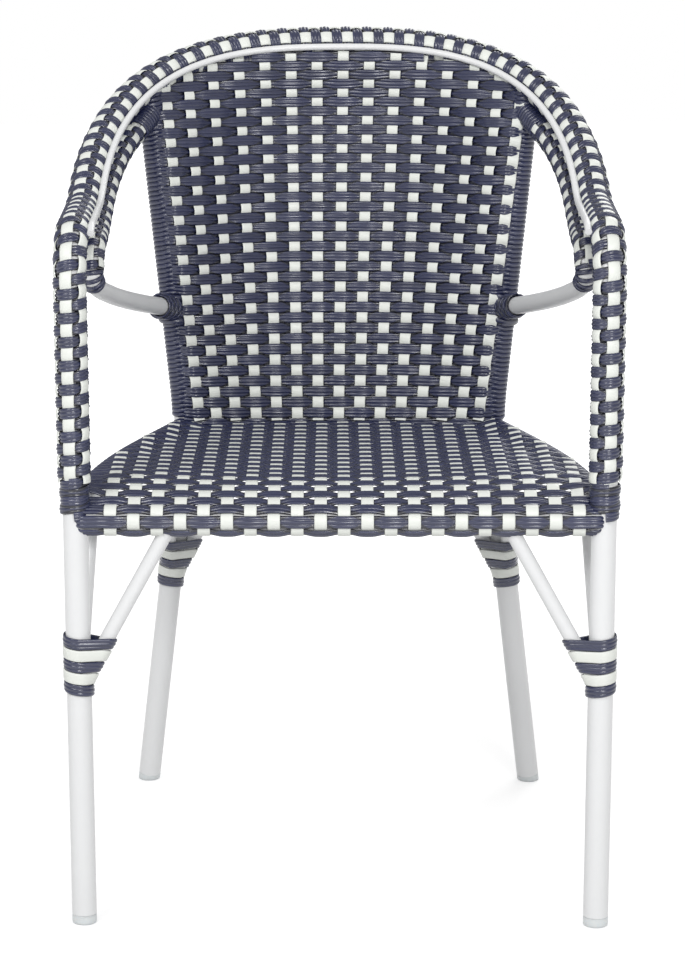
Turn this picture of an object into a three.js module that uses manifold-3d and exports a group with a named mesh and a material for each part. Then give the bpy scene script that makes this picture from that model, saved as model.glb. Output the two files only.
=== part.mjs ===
// A bistro armchair: a white tube frame with a woven seat, a woven back and woven arms.
// Millimetres, +Z up, the front faces -Y, and the origin lies on the floor under the middle.
// Until the last lines move the whole chair, y = 0 is the plane of the front feet.

import * as THREE from 'three';
import Module from 'manifold-3d';

// Clearances and facets
const GAP = 0.3; // between pieces that touch
const OVERRUN = 30; // how far a cut runs past what it cuts
const SIDES = 12;
const SKIN_SIDES = 10;
const THIN_SIDES = 8;

// Tubes
const TUBE_D = 25;
const TUBE_WALL = 1.5;
const SIDE_RAIL_D = 22;
const REAR_RAIL_D = 20;
const BRACE_D = 15;
const SUPPORT_D = 19;
const BEAD_D = 8.5;

// Woven and wound skins on the tubes
const HOOP_WEAVE = 4.2;
const SUPPORT_WEAVE = 3.8;
const STILE_WINDING = 2.2;
const SEAT_WEAVE = 3;
const CORNER_BINDING = 3.4;
const CORNER_BINDING_HEIGHT = 38;
const NOSE_BINDING = 2.4;
const STILE_WRAP = 2.4;

// Feet
const CAP_HEIGHT = 9.5;
const CAP_PLUG = 18;

// The hoop: front leg, arm, arch, arm and front leg in one bent tube
const FRONT_FOOT_X = 257.5;
const ARM_X = 262.5;
const POST_LEAN = 4;
const ARM_Z = 699;
const ARM_BEND = 50;
const ARM_SLOPE_SHARE = 0.07;
const KINK_Y = 165;
const KINK_BLEND = 22;
const ARCH_SLOPE_SHARE = 0.57;
const ARCH_START_Y = 140;
const ARCH_TOP_Y = 432;
const ARCH_POWER = 2.7;
const ARCH_STATIONS = 11;
const ARCH_TURNS = 40;
const BEND_STATIONS = 6;

// The back legs, each one tube from the foot up to the arch
const REAR_FOOT_X = 221;
const REAR_FOOT_Y = 484;
const STILE_X = 167;
const STILE_Y = 373;
const STILE_KNEE_Z = 440;
const STILE_TOP_X = 205;
const STILE_BLEND = 45;
const STILE_LIFT = 3;
const STILE_BEND_STEPS = 4;

// The seat
const FRONT_RAIL_Z = 416;
const REAR_RAIL_Z = 431;
const SIDE_RAIL_FRONT_Z = 430;
const SIDE_RAIL_Z = 436;
const SIDE_BOW = 8;
const SIDE_BOW_SHARE = 0.42;
const SIDE_RAIL_STEPS = 4;
const SEAT_TOP_Z = 450;
const SEAT_REAR_SINK = 6;
const SEAT_DISH = 6;
const SEAT_SKIN = 5;
const WATERFALL_LENGTH = 85;
const SEAT_STEPS = 4;
const SEAT_COURSE_PITCH = 38; // one swing of the woven sheet out and back
const SEAT_COURSE_HEIGHT = 2;

// The back
const BACK_SKIN = 4;
const BACK_HOLLOW = 8;
const BACK_STEPS = 6;
const BACK_COURSE_PITCH = 30;
const BACK_COURSE_HEIGHT = 3.2;

// The arm supports
const SUPPORT_INWARD = 15;
const SUPPORT_DOWN = 26.5;
const SUPPORT_TOP_DROP = 30;
const NOSE_Y = 90;
const NOSE_RUN = 30;
const NOSE_DROP = 36;
const NOSE_STEPS = 4;
const LOWER_STEPS = 6;
const LOWER_SPREAD = 1.2;
const LOWER_LEAD_SHARE = 0.3;
const LOWER_SINK_SHARE = 0.14;
const SUPPORT_END_Z = 577;
const TOP_BINDING_LENGTH = 42;
const NOSE_BINDING_LENGTH = 20;
const NOSE_BINDING_BELOW = 12;
const REAR_BINDING_LENGTH = 34;
const STILE_WRAP_HEIGHT = 27;

// The bead rod on the inner side of the hoop
const BEAD_LIFT = 4.4;

// Braces and the windings round the leg joints
const JOINT_Z = 243;
const FRONT_BRACE_X = 170;
const SIDE_BRACE_Y = 72;
const REAR_JOINT_Z = 252;
const REAR_BRACE_X = 96;
const REAR_SIDE_BRACE_Y = 315;
const STRAND_W = 10.4;
const STRAND_T = 2.4;
const STRAND_CLEARANCE = 1.1;
const WINDING_PITCH = 11.7;
const WINDING_LOOPS = 5;
const LOOP_STEPS = 16;

const TUBE_R = TUBE_D / 2;
const SIDE_RAIL_R = SIDE_RAIL_D / 2;
const REAR_RAIL_R = REAR_RAIL_D / 2;
const BRACE_R = BRACE_D / 2;
const SUPPORT_R = SUPPORT_D / 2;
const BEAD_R = BEAD_D / 2;
const HOOP_R = TUBE_R + HOOP_WEAVE;
const STILE_R = TUBE_R + STILE_WINDING;
const SUPPORT_SLEEVE_R = SUPPORT_R + SUPPORT_WEAVE;
const CORNER_R = TUBE_R + CORNER_BINDING;
const SEAT_ROLL_R = TUBE_R + SEAT_WEAVE;
const SIDE_ROLL_R = SIDE_RAIL_R + SEAT_WEAVE;
const REAR_ROLL_R = REAR_RAIL_R + SEAT_WEAVE;
const POST_TOP_Z = ARM_Z - ARM_BEND;
const ARM_START_Y = POST_LEAN + ARM_BEND;
const CORNER_TOP_Z = SEAT_TOP_Z + HOOP_WEAVE;
const TUBE_START_Z = CAP_HEIGHT + GAP;
const LEFT = -1;
const RIGHT = 1;
const BOTH_SIDES = [LEFT, RIGHT];

const wasm = await Module();
wasm.setup();

const WHITE_TUBE = new THREE.MeshStandardMaterial({ color: 0xe9ebec, roughness: 0.35, metalness: 0 });
const NAVY_WEAVE = new THREE.MeshStandardMaterial({ color: 0x2f3350, roughness: 0.45, metalness: 0 });
const NAVY_BINDING = new THREE.MeshStandardMaterial({ color: 0x262a44, roughness: 0.5, metalness: 0 });
const PALE_CAP = new THREE.MeshStandardMaterial({ color: 0xd5d9da, roughness: 0.35, metalness: 0 });

const vec = (x, y, z) => new THREE.Vector3(x, y, z);
const mirrored = (points) => points.map((p) => vec(-p.x, p.y, p.z));
const sided = (points, side) => (side === LEFT ? mirrored(points) : points);
const sideName = (side) => (side === LEFT ? 'left' : 'right');

// The radius of a faceted bore whose flats keep clear of a round of this radius
const around = (radius, sides = SIDES) => (radius + GAP) / Math.cos(Math.PI / sides);

const cutBy = (solid, cuts) => cuts.reduce((rest, cut) => rest.subtract(cut), solid);
const joined = (solids) => solids.reduce((all, solid) => all.add(solid));

// The largest of the separate bodies that a cut leaves
function largest(solid) {
  const bodies = solid.decompose();
  return bodies.reduce((best, body) => (body.volume() > best.volume() ? body : best));
}

// A solid from rings of points, each joined to the next, with its two end faces given
function solidFromRings(rings, endFaces) {
  const count = rings[0].length;
  const triangles = [];
  for (let r = 0; r < rings.length - 1; r += 1) {
    for (let s = 0; s < count; s += 1) {
      const a = r * count + s;
      const b = r * count + ((s + 1) % count);
      triangles.push(a, b, a + count, b, b + count, a + count);
    }
  }
  const last = (rings.length - 1) * count;
  for (const [a, b, c] of endFaces) {
    triangles.push(a, c, b, last + a, last + b, last + c);
  }
  const vertProperties = new Float32Array(rings.flat().flatMap((p) => p.toArray()));
  const triVerts = new Uint32Array(triangles);
  return new wasm.Manifold(new wasm.Mesh({ numProp: 3, vertProperties, triVerts }));
}

// Faces that close a ring made of a row of points and the same row coming back
function stripFaces(rowCount) {
  const last = 2 * rowCount - 1;
  return Array.from({ length: rowCount - 1 }, (_, i) => [
    [i, i + 1, last - i - 1],
    [i, last - i - 1, last - i],
  ]).flat();
}

// Directions across a path that turn with it and never spin about it
function acrossPath(points) {
  const tangents = points.map((p, i) => {
    const before = points[Math.max(i - 1, 0)];
    const after = points[Math.min(i + 1, points.length - 1)];
    return p.clone().sub(before).normalize().add(after.clone().sub(p).normalize()).normalize();
  });
  let normal = Math.abs(tangents[0].x) < Math.SQRT1_2 ? vec(1, 0, 0) : vec(0, 1, 0);
  return tangents.map((tangent) => {
    normal = normal.clone().addScaledVector(tangent, -normal.dot(tangent)).normalize();
    return { normal, side: tangent.clone().cross(normal) };
  });
}

// A round bar along the points
function bar(points, radius, sides = SIDES) {
  const frames = acrossPath(points);
  const rings = points.map((p, i) => Array.from({ length: sides }, (_, s) => {
    const angle = (2 * Math.PI * s) / sides;
    return p.clone()
      .addScaledVector(frames[i].normal, radius * Math.cos(angle))
      .addScaledVector(frames[i].side, radius * Math.sin(angle));
  }));
  const fan = Array.from({ length: sides - 2 }, (_, s) => [0, s + 1, s + 2]);
  return solidFromRings(rings, fan);
}

// The same path, run on straight past both ends
function overrun(points, length = OVERRUN) {
  const last = points.length - 1;
  const start = points[0].clone().sub(points[1]).setLength(length).add(points[0]);
  const end = points[last].clone().sub(points[last - 1]).setLength(length).add(points[last]);
  return [start, ...points, end];
}

function pipe(points, radius) {
  return bar(points, radius).subtract(bar(overrun(points), radius - TUBE_WALL, THIN_SIDES));
}

function sleeve(points, radius, inside) {
  const bore = bar(overrun(points), around(inside, SKIN_SIDES), SKIN_SIDES);
  return bar(points, radius, SKIN_SIDES).subtract(bore);
}

function lengthsAlong(points) {
  const lengths = [0];
  for (let i = 1; i < points.length; i += 1) {
    lengths.push(lengths[i - 1] + points[i].distanceTo(points[i - 1]));
  }
  return lengths;
}

// The part of a path between two lengths along it
function stretch(points, from, to) {
  const lengths = lengthsAlong(points);
  const placeAt = (length) => {
    const found = lengths.findIndex((value, i) => i > 0 && value >= length);
    const i = found < 0 ? points.length - 1 : found;
    return points[i - 1].clone().lerp(points[i], (length - lengths[i - 1]) / (lengths[i] - lengths[i - 1]));
  };
  const between = points.filter((_, i) => lengths[i] > from + GAP && lengths[i] < to - GAP);
  return [placeAt(from), ...between, placeAt(to)];
}

// The height of the hoop's tube over a place along the chair, and its slope there
function hoopSide(y) {
  const past = y - KINK_Y;
  const share = Math.min(1, Math.max(0, (past + KINK_BLEND) / (2 * KINK_BLEND)));
  const ramp = share < 1 ? KINK_BLEND * share ** 2 : past;
  const extra = ARCH_SLOPE_SHARE - ARM_SLOPE_SHARE;
  return {
    z: ARM_Z + ARM_SLOPE_SHARE * (y - ARM_START_Y) + extra * ramp,
    slope: ARM_SLOPE_SHARE + extra * share,
  };
}

// Places on the centre lines of the right front leg and of the arch
function frontLegAt(z) {
  const share = z / POST_TOP_Z;
  return vec(FRONT_FOOT_X + (ARM_X - FRONT_FOOT_X) * share, POST_LEAN * share, z);
}

function archTurned(share) {
  const turn = (Math.PI / 2) * share;
  const power = 2 / ARCH_POWER;
  const x = share < 1 ? ARM_X * Math.cos(turn) ** power : 0;
  const y = ARCH_START_Y + (ARCH_TOP_Y - ARCH_START_Y) * Math.sin(turn) ** power;
  return vec(x, y, hoopSide(y).z);
}

function archAt(x) {
  const across = (Math.abs(x) / ARM_X) ** ARCH_POWER;
  const y = ARCH_START_Y + (ARCH_TOP_Y - ARCH_START_Y) * (1 - across) ** (1 / ARCH_POWER);
  return vec(x, y, hoopSide(y).z);
}

// Stations of the right half of the hoop, from a height on the post up to the arch's top,
// each with the direction that stands up from the hoop's own surface
function hoopStations(lowest) {
  const stations = [{ point: frontLegAt(lowest), up: vec(0, -1, 0) }];
  for (let i = 0; i <= BEND_STATIONS; i += 1) {
    const turn = (Math.PI / 2) * (i / BEND_STATIONS);
    const y = POST_LEAN + ARM_BEND * (1 - Math.cos(turn));
    const z = POST_TOP_Z + ARM_BEND * Math.sin(turn);
    stations.push({ point: vec(ARM_X, y, z), up: vec(0, -Math.cos(turn), Math.sin(turn)) });
  }
  const turned = Array.from({ length: ARCH_TURNS + 1 }, (_, i) => archTurned(i / ARCH_TURNS));
  for (const point of new THREE.CatmullRomCurve3(turned).getSpacedPoints(ARCH_STATIONS)) {
    stations.push({ point, up: vec(0, -hoopSide(point.y).slope, 1).normalize() });
  }
  stations[stations.length - 1].point.setX(0);
  return stations;
}

// The whole hoop from left to right, from the points of its right half
const wholeHoop = (half) => [...mirrored(half), ...half.slice(0, -1).reverse()];
const hoopPoints = (lowest) => wholeHoop(hoopStations(lowest).map((s) => s.point));

// A line beside the right half of the hoop, moved towards the sitter and upwards from it
function besideHoop(stations, inward, up) {
  return stations.map((station, i) => {
    const before = stations[Math.max(i - 1, 0)].point;
    const isTop = station.point.x === 0;
    const after = isTop ? mirrored([before])[0] : stations[Math.min(i + 1, stations.length - 1)].point;
    const tangent = after.clone().sub(before).normalize();
    const inside = station.up.clone().cross(tangent).normalize();
    return station.point.clone().addScaledVector(inside, inward).addScaledVector(station.up, up);
  });
}

// The part of a rising path above a height
function above(points, z) {
  const first = points.findIndex((p) => p.z > z);
  const [low, high] = [points[first - 1], points[first]];
  return [low.clone().lerp(high, (z - low.z) / (high.z - low.z)), ...points.slice(first)];
}

// The right back leg, straight from its foot to its knee at the seat and on into the arch
const rearFoot = vec(REAR_FOOT_X, REAR_FOOT_Y, 0);
const stileKnee = vec(STILE_X, STILE_Y, STILE_KNEE_Z);
const stileTop = archAt(STILE_TOP_X);
const rearLegAt = (z) => rearFoot.clone().lerp(stileKnee, z / stileKnee.z);
const stileAt = (z) => stileKnee.clone().lerp(stileTop, (z - stileKnee.z) / (stileTop.z - stileKnee.z));

function backLegBend() {
  const below = rearFoot.clone().sub(stileKnee).setLength(STILE_BLEND).add(stileKnee);
  const above = stileTop.clone().sub(stileKnee).setLength(STILE_BLEND).add(stileKnee);
  return new THREE.QuadraticBezierCurve3(below, stileKnee, above).getPoints(STILE_BEND_STEPS);
}

// Centre lines of the tubes; those of pairs are the right one's
const hoopPath = hoopPoints(TUBE_START_Z);
const backLegPath = [rearLegAt(TUBE_START_Z), ...backLegBend(), stileTop];
const frontRailPath = [mirrored([frontLegAt(FRONT_RAIL_Z)])[0], frontLegAt(FRONT_RAIL_Z)];
const rearRailEnd = above(backLegPath, REAR_RAIL_Z)[0];
const rearRailPath = [mirrored([rearRailEnd])[0], rearRailEnd];

function sideRailPoints() {
  const start = frontLegAt(SIDE_RAIL_FRONT_Z);
  const end = above(backLegPath, SIDE_RAIL_Z)[0];
  const middle = start.clone().lerp(end, SIDE_BOW_SHARE).setZ(SIDE_RAIL_Z);
  middle.x += SIDE_BOW;
  return new THREE.CatmullRomCurve3([start, middle, end]).getPoints(SIDE_RAIL_STEPS);
}

const sideRailPath = sideRailPoints();

function sideRailAt(y) {
  const found = sideRailPath.findIndex((p, i) => i > 0 && p.y >= y);
  const i = found < 0 ? SIDE_RAIL_STEPS : found;
  const from = sideRailPath[i - 1];
  return from.clone().lerp(sideRailPath[i], (y - from.y) / (sideRailPath[i].y - from.y));
}

const frontBracePath = [frontLegAt(JOINT_Z), frontLegAt(FRONT_RAIL_Z).setX(FRONT_BRACE_X)];
const frontSideBracePath = [frontLegAt(JOINT_Z), sideRailAt(SIDE_BRACE_Y)];
const rearBracePath = [rearLegAt(REAR_JOINT_Z), rearRailEnd.clone().setX(REAR_BRACE_X)];
const rearSideBracePath = [rearLegAt(REAR_JOINT_Z), sideRailAt(REAR_SIDE_BRACE_Y)];
const bracePaths = [frontBracePath, frontSideBracePath, rearBracePath, rearSideBracePath];

// Cuts that leave the clearance round each tube
const hoopCut = bar(overrun(hoopPath), around(TUBE_R));
const frontRailCut = bar(overrun(frontRailPath), around(TUBE_R));
const rearRailCut = bar(overrun(rearRailPath), around(REAR_RAIL_R));
const backLegCut = (side) => bar(overrun(sided(backLegPath, side), GAP), around(TUBE_R));
const sideRailCut = (side) => bar(sided(sideRailPath, side), around(SIDE_RAIL_R));
const braceCut = (path, side) => bar(sided(path, side), around(BRACE_R, THIN_SIDES), THIN_SIDES);

function hoopTube() {
  return pipe(hoopPath, TUBE_R);
}

function backLeg(side) {
  return largest(pipe(sided(backLegPath, side), TUBE_R).subtract(hoopCut));
}

// The tubes between the legs are welded shut at both ends, so they stay solid inside
function frontRail() {
  return largest(bar(frontRailPath, TUBE_R).subtract(hoopCut));
}

function rearRail() {
  return largest(cutBy(bar(rearRailPath, REAR_RAIL_R), BOTH_SIDES.map(backLegCut)));
}

function sideRail(side) {
  const rail = bar(sided(sideRailPath, side), SIDE_RAIL_R);
  return largest(cutBy(rail, [hoopCut, backLegCut(side), frontRailCut, rearRailCut]));
}

function brace(path, side, otherPaths) {
  const rails = [frontRailCut, rearRailCut, sideRailCut(side)];
  const others = otherPaths.map((other) => braceCut(other, side));
  const tube = bar(sided(path, side), BRACE_R, THIN_SIDES);
  return largest(cutBy(tube, [hoopCut, backLegCut(side), ...rails, ...others]));
}

// A foot cap: a disc under the tube, cut flat on the floor, with a plug up the bore
function footCap(legAt, side) {
  const disc = bar(sided([legAt(-OVERRUN), legAt(CAP_HEIGHT)], side), TUBE_R);
  const plugR = (TUBE_R - TUBE_WALL) * Math.cos(Math.PI / THIN_SIDES) - GAP;
  const plug = bar(sided([legAt(0), legAt(CAP_HEIGHT + CAP_PLUG)], side), plugR);
  return disc.add(plug).trimByPlane([0, 0, 1], 0);
}

// The height of the seat's upper surface: it rises from the front roll to a shallow dish,
// and sinks again to the roll on the rear rail
function seatTopAt(share, y) {
  const start = FRONT_RAIL_Z + SEAT_ROLL_R - GAP;
  const run = Math.min(1, y / WATERFALL_LENGTH);
  const rise = (SEAT_TOP_Z - start) * (1 - (1 - run) ** 2);
  const rear = Math.max(0, (y - WATERFALL_LENGTH) / (rearRailEnd.y - WATERFALL_LENGTH));
  const dish = SEAT_DISH * (run - rear) * (1 - share ** 2);
  return start + rise - dish - SEAT_REAR_SINK * rear;
}

// How far a woven sheet swings to one side at a row, and back at the next, but not at its ends
function swing(row, rows, height) {
  if (row === 0 || row === rows) return 0;
  return row % 2 === 0 ? height / 2 : -height / 2;
}

function seatSkin() {
  const rows = 2 * Math.round(rearRailEnd.y / SEAT_COURSE_PITCH);
  const shares = Array.from({ length: SEAT_STEPS + 1 }, (_, i) => (2 * i) / SEAT_STEPS - 1);
  const rings = Array.from({ length: rows + 1 }, (_, j) => {
    const y = (rearRailEnd.y * j) / rows;
    const half = sideRailAt(Math.max(y, sideRailPath[0].y)).x;
    const lift = swing(j, rows, SEAT_COURSE_HEIGHT);
    const top = shares.map((share) => vec(share * half, y, seatTopAt(share, y) + lift));
    const under = top.map((p) => p.clone().setZ(p.z - SEAT_SKIN));
    return [...top, ...under.reverse()];
  });
  return solidFromRings(rings, stripFaces(SEAT_STEPS + 1));
}

// Solid bindings round the posts where the arms' weave ends at the seat's front corners
const cornerPath = [frontLegAt(CORNER_TOP_Z - CORNER_BINDING_HEIGHT), frontLegAt(CORNER_TOP_Z)];
const cornerCut = (side) => bar(sided(overrun(cornerPath, GAP), side), around(CORNER_R));

function cornerBinding(side) {
  const ring = sleeve(sided(cornerPath, side), CORNER_R, TUBE_R);
  return largest(cutBy(ring, [frontRailCut, sideRailCut(side)]));
}

// The winding on each stile, from the seat up to the hoop
const stilePath = above(backLegPath, SIDE_RAIL_Z + SIDE_ROLL_R + STILE_LIFT);
const stileCut = (side) => bar(overrun(sided(stilePath, side), GAP), around(STILE_R));

// The woven seat, which wraps all four rails
function seatPanel() {
  const rolls = [
    bar(frontRailPath, SEAT_ROLL_R),
    bar(rearRailPath, REAR_ROLL_R, SKIN_SIDES),
    ...BOTH_SIDES.map((side) => bar(sided(sideRailPath, side), SIDE_ROLL_R, SKIN_SIDES)),
  ];
  const cuts = [frontRailCut, rearRailCut, hoopCut];
  for (const side of BOTH_SIDES) {
    cuts.push(sideRailCut(side), backLegCut(side), cornerCut(side), stileCut(side));
    cuts.push(...bracePaths.map((path) => braceCut(path, side)));
  }
  return largest(cutBy(joined([seatSkin(), ...rolls]), cuts));
}

// The woven sleeve from one seat corner over arm, arch and arm to the other
const hoopSleevePath = hoopPoints(CORNER_TOP_Z + GAP);
const hoopSleeveCut = bar(hoopSleevePath, around(HOOP_R));

function hoopSleeve() {
  const whole = sleeve(hoopSleevePath, HOOP_R, TUBE_R);
  return largest(cutBy(whole, BOTH_SIDES.map(backLegCut)));
}

// The bead rod lies against the flats on the sleeve's inner side and ends behind the arm's bend
function beadPoints() {
  const distance = HOOP_R * Math.cos(Math.PI / SKIN_SIDES) + BEAD_R + GAP;
  const inward = Math.sqrt(distance ** 2 - BEAD_LIFT ** 2);
  const stations = hoopStations(TUBE_START_Z).slice(1 + BEND_STATIONS / 2);
  return wholeHoop(besideHoop(stations, inward, BEAD_LIFT));
}

const beadPath = beadPoints();
const beadCut = bar(beadPath, around(BEAD_R));

// The right arm support: forward under the arm, round its nose, and back to the stile
function supportPoints() {
  const stations = hoopStations(TUBE_START_Z)
    .filter(({ point }) => point.y >= ARCH_START_Y && point.x > STILE_TOP_X);
  const upper = besideHoop(stations, SUPPORT_INWARD, -SUPPORT_DOWN).reverse();
  const turn = upper[upper.length - 1];
  const bendStart = turn.clone().setY(NOSE_Y + NOSE_RUN);
  bendStart.z -= ARM_SLOPE_SHARE * (turn.y - bendStart.y);
  const nose = vec(turn.x, NOSE_Y, bendStart.z - NOSE_DROP);
  const end = stileAt(SUPPORT_END_Z);
  const forward = new THREE.CubicBezierCurve3(
    bendStart,
    bendStart.clone().setY(NOSE_Y + NOSE_RUN / 2),
    nose.clone().setZ(nose.z + NOSE_DROP / 2),
    nose,
  );
  const lead = end.clone().lerp(nose, LOWER_LEAD_SHARE);
  lead.z = end.z + LOWER_SINK_SHARE * (end.y - lead.y);
  const backward = new THREE.CubicBezierCurve3(
    nose,
    nose.clone().setZ(nose.z - NOSE_DROP * (1 - LOWER_LEAD_SHARE)),
    lead,
    end,
  );
  const start = stileAt(stileTop.z - SUPPORT_TOP_DROP);
  return {
    upperPath: [start, ...upper, ...forward.getPoints(NOSE_STEPS)],
    lowerPath: Array.from(
      { length: LOWER_STEPS + 1 },
      (_, i) => backward.getPoint((i / LOWER_STEPS) ** LOWER_SPREAD),
    ),
  };
}

const { upperPath, lowerPath } = supportPoints();
const supportPath = [...upperPath, ...lowerPath.slice(1)];
const upperLength = lengthsAlong(upperPath)[upperPath.length - 1];
const wholeLength = lengthsAlong(supportPath)[supportPath.length - 1];
const noseBindingEnd = upperLength + NOSE_BINDING_BELOW;
const noseBindingStart = noseBindingEnd - NOSE_BINDING_LENGTH;

function armSupport(side) {
  const tube = bar(sided(supportPath, side), SUPPORT_R, SKIN_SIDES);
  return largest(cutBy(tube, [backLegCut(side), hoopSleeveCut]));
}

const supportCut = (side) => bar(sided(supportPath, side), around(SUPPORT_R));

// A cut round the arm support between two lengths along it
function supportStretchCut(side, from, to) {
  return bar(sided(stretch(supportPath, from, to), side), around(SUPPORT_SLEEVE_R));
}

const topBindingCut = (side) => supportStretchCut(side, 0, TOP_BINDING_LENGTH + GAP);
const noseBindingCut = (side) => supportStretchCut(side, noseBindingStart - GAP, wholeLength);

// A skin round the arm support between two lengths along it
function supportSkin(side, from, to, thickness) {
  const skin = bar(sided(stretch(supportPath, from, to), side), SUPPORT_R + thickness, SKIN_SIDES);
  return cutBy(skin, [supportCut(side), hoopSleeveCut, beadCut, stileCut(side)]);
}

// The woven skin between the two bindings of the arm support
function supportSleeve(side) {
  const skin = supportSkin(side, 0, upperLength, SUPPORT_WEAVE);
  return largest(cutBy(skin, [topBindingCut(side), noseBindingCut(side)]));
}

function stileBinding(side) {
  const skin = sleeve(sided(stilePath, side), STILE_R, TUBE_R);
  return largest(cutBy(skin, [hoopSleeveCut, supportCut(side)]));
}

// The woven back: from the rear rail up into the arch, hollowed for the sitter's back
function backSkin(thickness) {
  const footZ = REAR_RAIL_Z + REAR_ROLL_R + GAP;
  const foot = above(backLegPath, footZ)[0];
  const rows = 2 * Math.round((archAt(0).z - footZ) / BACK_COURSE_PITCH);
  const shares = Array.from({ length: BACK_STEPS + 1 }, (_, i) => (2 * i) / BACK_STEPS - 1);
  const rings = Array.from({ length: rows + 1 }, (_, j) => {
    const rise = j / rows;
    const middle = shares.map((share) => {
      const place = foot.clone().setX(share * foot.x).lerp(archAt(share * STILE_TOP_X), rise);
      place.y += BACK_HOLLOW * Math.sin(Math.PI * rise) * (1 - share ** 2);
      place.y += swing(j, rows, BACK_COURSE_HEIGHT);
      return place;
    });
    const front = middle.map((p) => p.clone().setY(p.y - thickness / 2));
    const rear = middle.map((p) => p.clone().setY(p.y + thickness / 2));
    return [...front, ...rear.reverse()];
  });
  return solidFromRings(rings, stripFaces(BACK_STEPS + 1));
}

function backPanel() {
  const cuts = [hoopSleeveCut, beadCut];
  for (const side of BOTH_SIDES) {
    cuts.push(backLegCut(side), stileCut(side), topBindingCut(side), lowerBindingCut(side));
    cuts.push(bar(sided(sideRailPath, side), around(SIDE_ROLL_R)));
  }
  return largest(cutBy(backSkin(BACK_SKIN), cuts));
}

// The binding that ties the lower end of the arm support to the stile
const wrapPath = [-1, 1].map((end) => stileAt(SUPPORT_END_Z + end * STILE_WRAP_HEIGHT / 2));
const wrapR = around(STILE_R) + STILE_WRAP;
const rearStretch = stretch(supportPath, wholeLength - REAR_BINDING_LENGTH, wholeLength);
const lowerBindingCut = (side) => bar(sided(rearStretch, side), around(SUPPORT_R + NOSE_BINDING));

function lowerBinding(side) {
  const limb = bar(sided(rearStretch, side), SUPPORT_R + NOSE_BINDING);
  const wrap = bar(sided(wrapPath, side), wrapR);
  const clearBack = backSkin(BACK_SKIN + 2 * GAP);
  return largest(cutBy(limb.add(wrap), [stileCut(side), supportCut(side), clearBack]));
}

// Where a level plane cuts a leaning round: its centre, its lean and its radius
function slice(path, radius, z, isLeg) {
  const [foot, head] = path;
  const share = (z - foot.z) / (head.z - foot.z);
  const place = foot.clone().lerp(head, isLeg ? share : Math.max(0, share));
  const lean = head.clone().sub(foot).divideScalar(head.z - foot.z).setZ(0);
  return { place, lean, radius };
}

// The place where a strand round several rounds lies, facing one way, at one height
function boundPlace(members, z, angle, offset) {
  const facing = vec(Math.cos(angle), Math.sin(angle), 0);
  const reaches = members.map(({ path, radius, isLeg }) => {
    const { place, lean } = slice(path, radius, z, isLeg);
    const leaning = facing.dot(lean);
    const reach = radius * Math.sqrt(1 + leaning ** 2);
    const edge = facing.clone().addScaledVector(lean, leaning).multiplyScalar(radius ** 2 / reach);
    return { reach: place.dot(facing) + reach, edge: edge.add(place).setZ(z) };
  });
  const farthest = reaches.reduce((best, one) => (one.reach > best.reach ? one : best));
  return farthest.edge.addScaledVector(facing, offset);
}

// One unbroken flat strand wound round a leg and the two braces that meet it
function jointWinding(legPath, paths, lowest, side) {
  const members = [{ path: legPath, radius: TUBE_R, isLeg: true }];
  paths.forEach((path) => members.push({ path, radius: BRACE_R, isLeg: false }));
  const rings = Array.from({ length: WINDING_LOOPS * LOOP_STEPS + 1 }, (_, i) => {
    const angle = (2 * Math.PI * i) / LOOP_STEPS;
    const low = lowest + (WINDING_PITCH * i) / LOOP_STEPS;
    const corner = (z, offset) => boundPlace(members, z, angle, offset);
    const inner = STRAND_CLEARANCE;
    const outer = STRAND_CLEARANCE + STRAND_T;
    const high = low + STRAND_W;
    return [corner(low, inner), corner(high, inner), corner(high, outer), corner(low, outer)];
  });
  const turned = side === LEFT ? rings.map((ring) => mirrored(ring).reverse()) : rings;
  return { solid: solidFromRings(turned, [[0, 1, 2], [0, 2, 3]]), gap: leastLoopGap(rings) };
}

// The least distance between a loop's upper edge and the lower edge of the next one
function leastLoopGap(rings) {
  let least = Infinity;
  for (let i = 0; i + LOOP_STEPS < rings.length; i += 1) {
    const above = rings[i + LOOP_STEPS];
    least = Math.min(least, rings[i][1].distanceTo(above[0]), rings[i][2].distanceTo(above[3]));
  }
  return least;
}

const chair = new THREE.Group();

function add(name, solid, material) {
  const mesh = solid.getMesh();
  const geometry = new THREE.BufferGeometry();
  geometry.setAttribute('position', new THREE.BufferAttribute(mesh.vertProperties, 3));
  geometry.setIndex(new THREE.BufferAttribute(mesh.triVerts, 1));
  geometry.computeVertexNormals();
  const piece = new THREE.Mesh(geometry, material);
  piece.name = name;
  chair.add(piece);
}

function addFrame() {
  add('hoop_tube', hoopTube(), WHITE_TUBE);
  add('seat_front_rail', frontRail(), WHITE_TUBE);
  add('seat_rear_rail', rearRail(), WHITE_TUBE);
  add('bead_rod', bar(beadPath, BEAD_R, THIN_SIDES), WHITE_TUBE);
  for (const side of BOTH_SIDES) {
    const name = sideName(side);
    add(`back_leg_${name}`, backLeg(side), WHITE_TUBE);
    add(`seat_side_rail_${name}`, sideRail(side), WHITE_TUBE);
    add(`front_brace_${name}`, brace(frontBracePath, side, []), WHITE_TUBE);
    add(`front_side_brace_${name}`, brace(frontSideBracePath, side, [frontBracePath]), WHITE_TUBE);
    add(`rear_brace_${name}`, brace(rearBracePath, side, []), WHITE_TUBE);
    add(`rear_side_brace_${name}`, brace(rearSideBracePath, side, [rearBracePath]), WHITE_TUBE);
    add(`arm_support_${name}`, armSupport(side), WHITE_TUBE);
    add(`front_foot_cap_${name}`, footCap(frontLegAt, side), PALE_CAP);
    add(`rear_foot_cap_${name}`, footCap(rearLegAt, side), PALE_CAP);
  }
}

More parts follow.
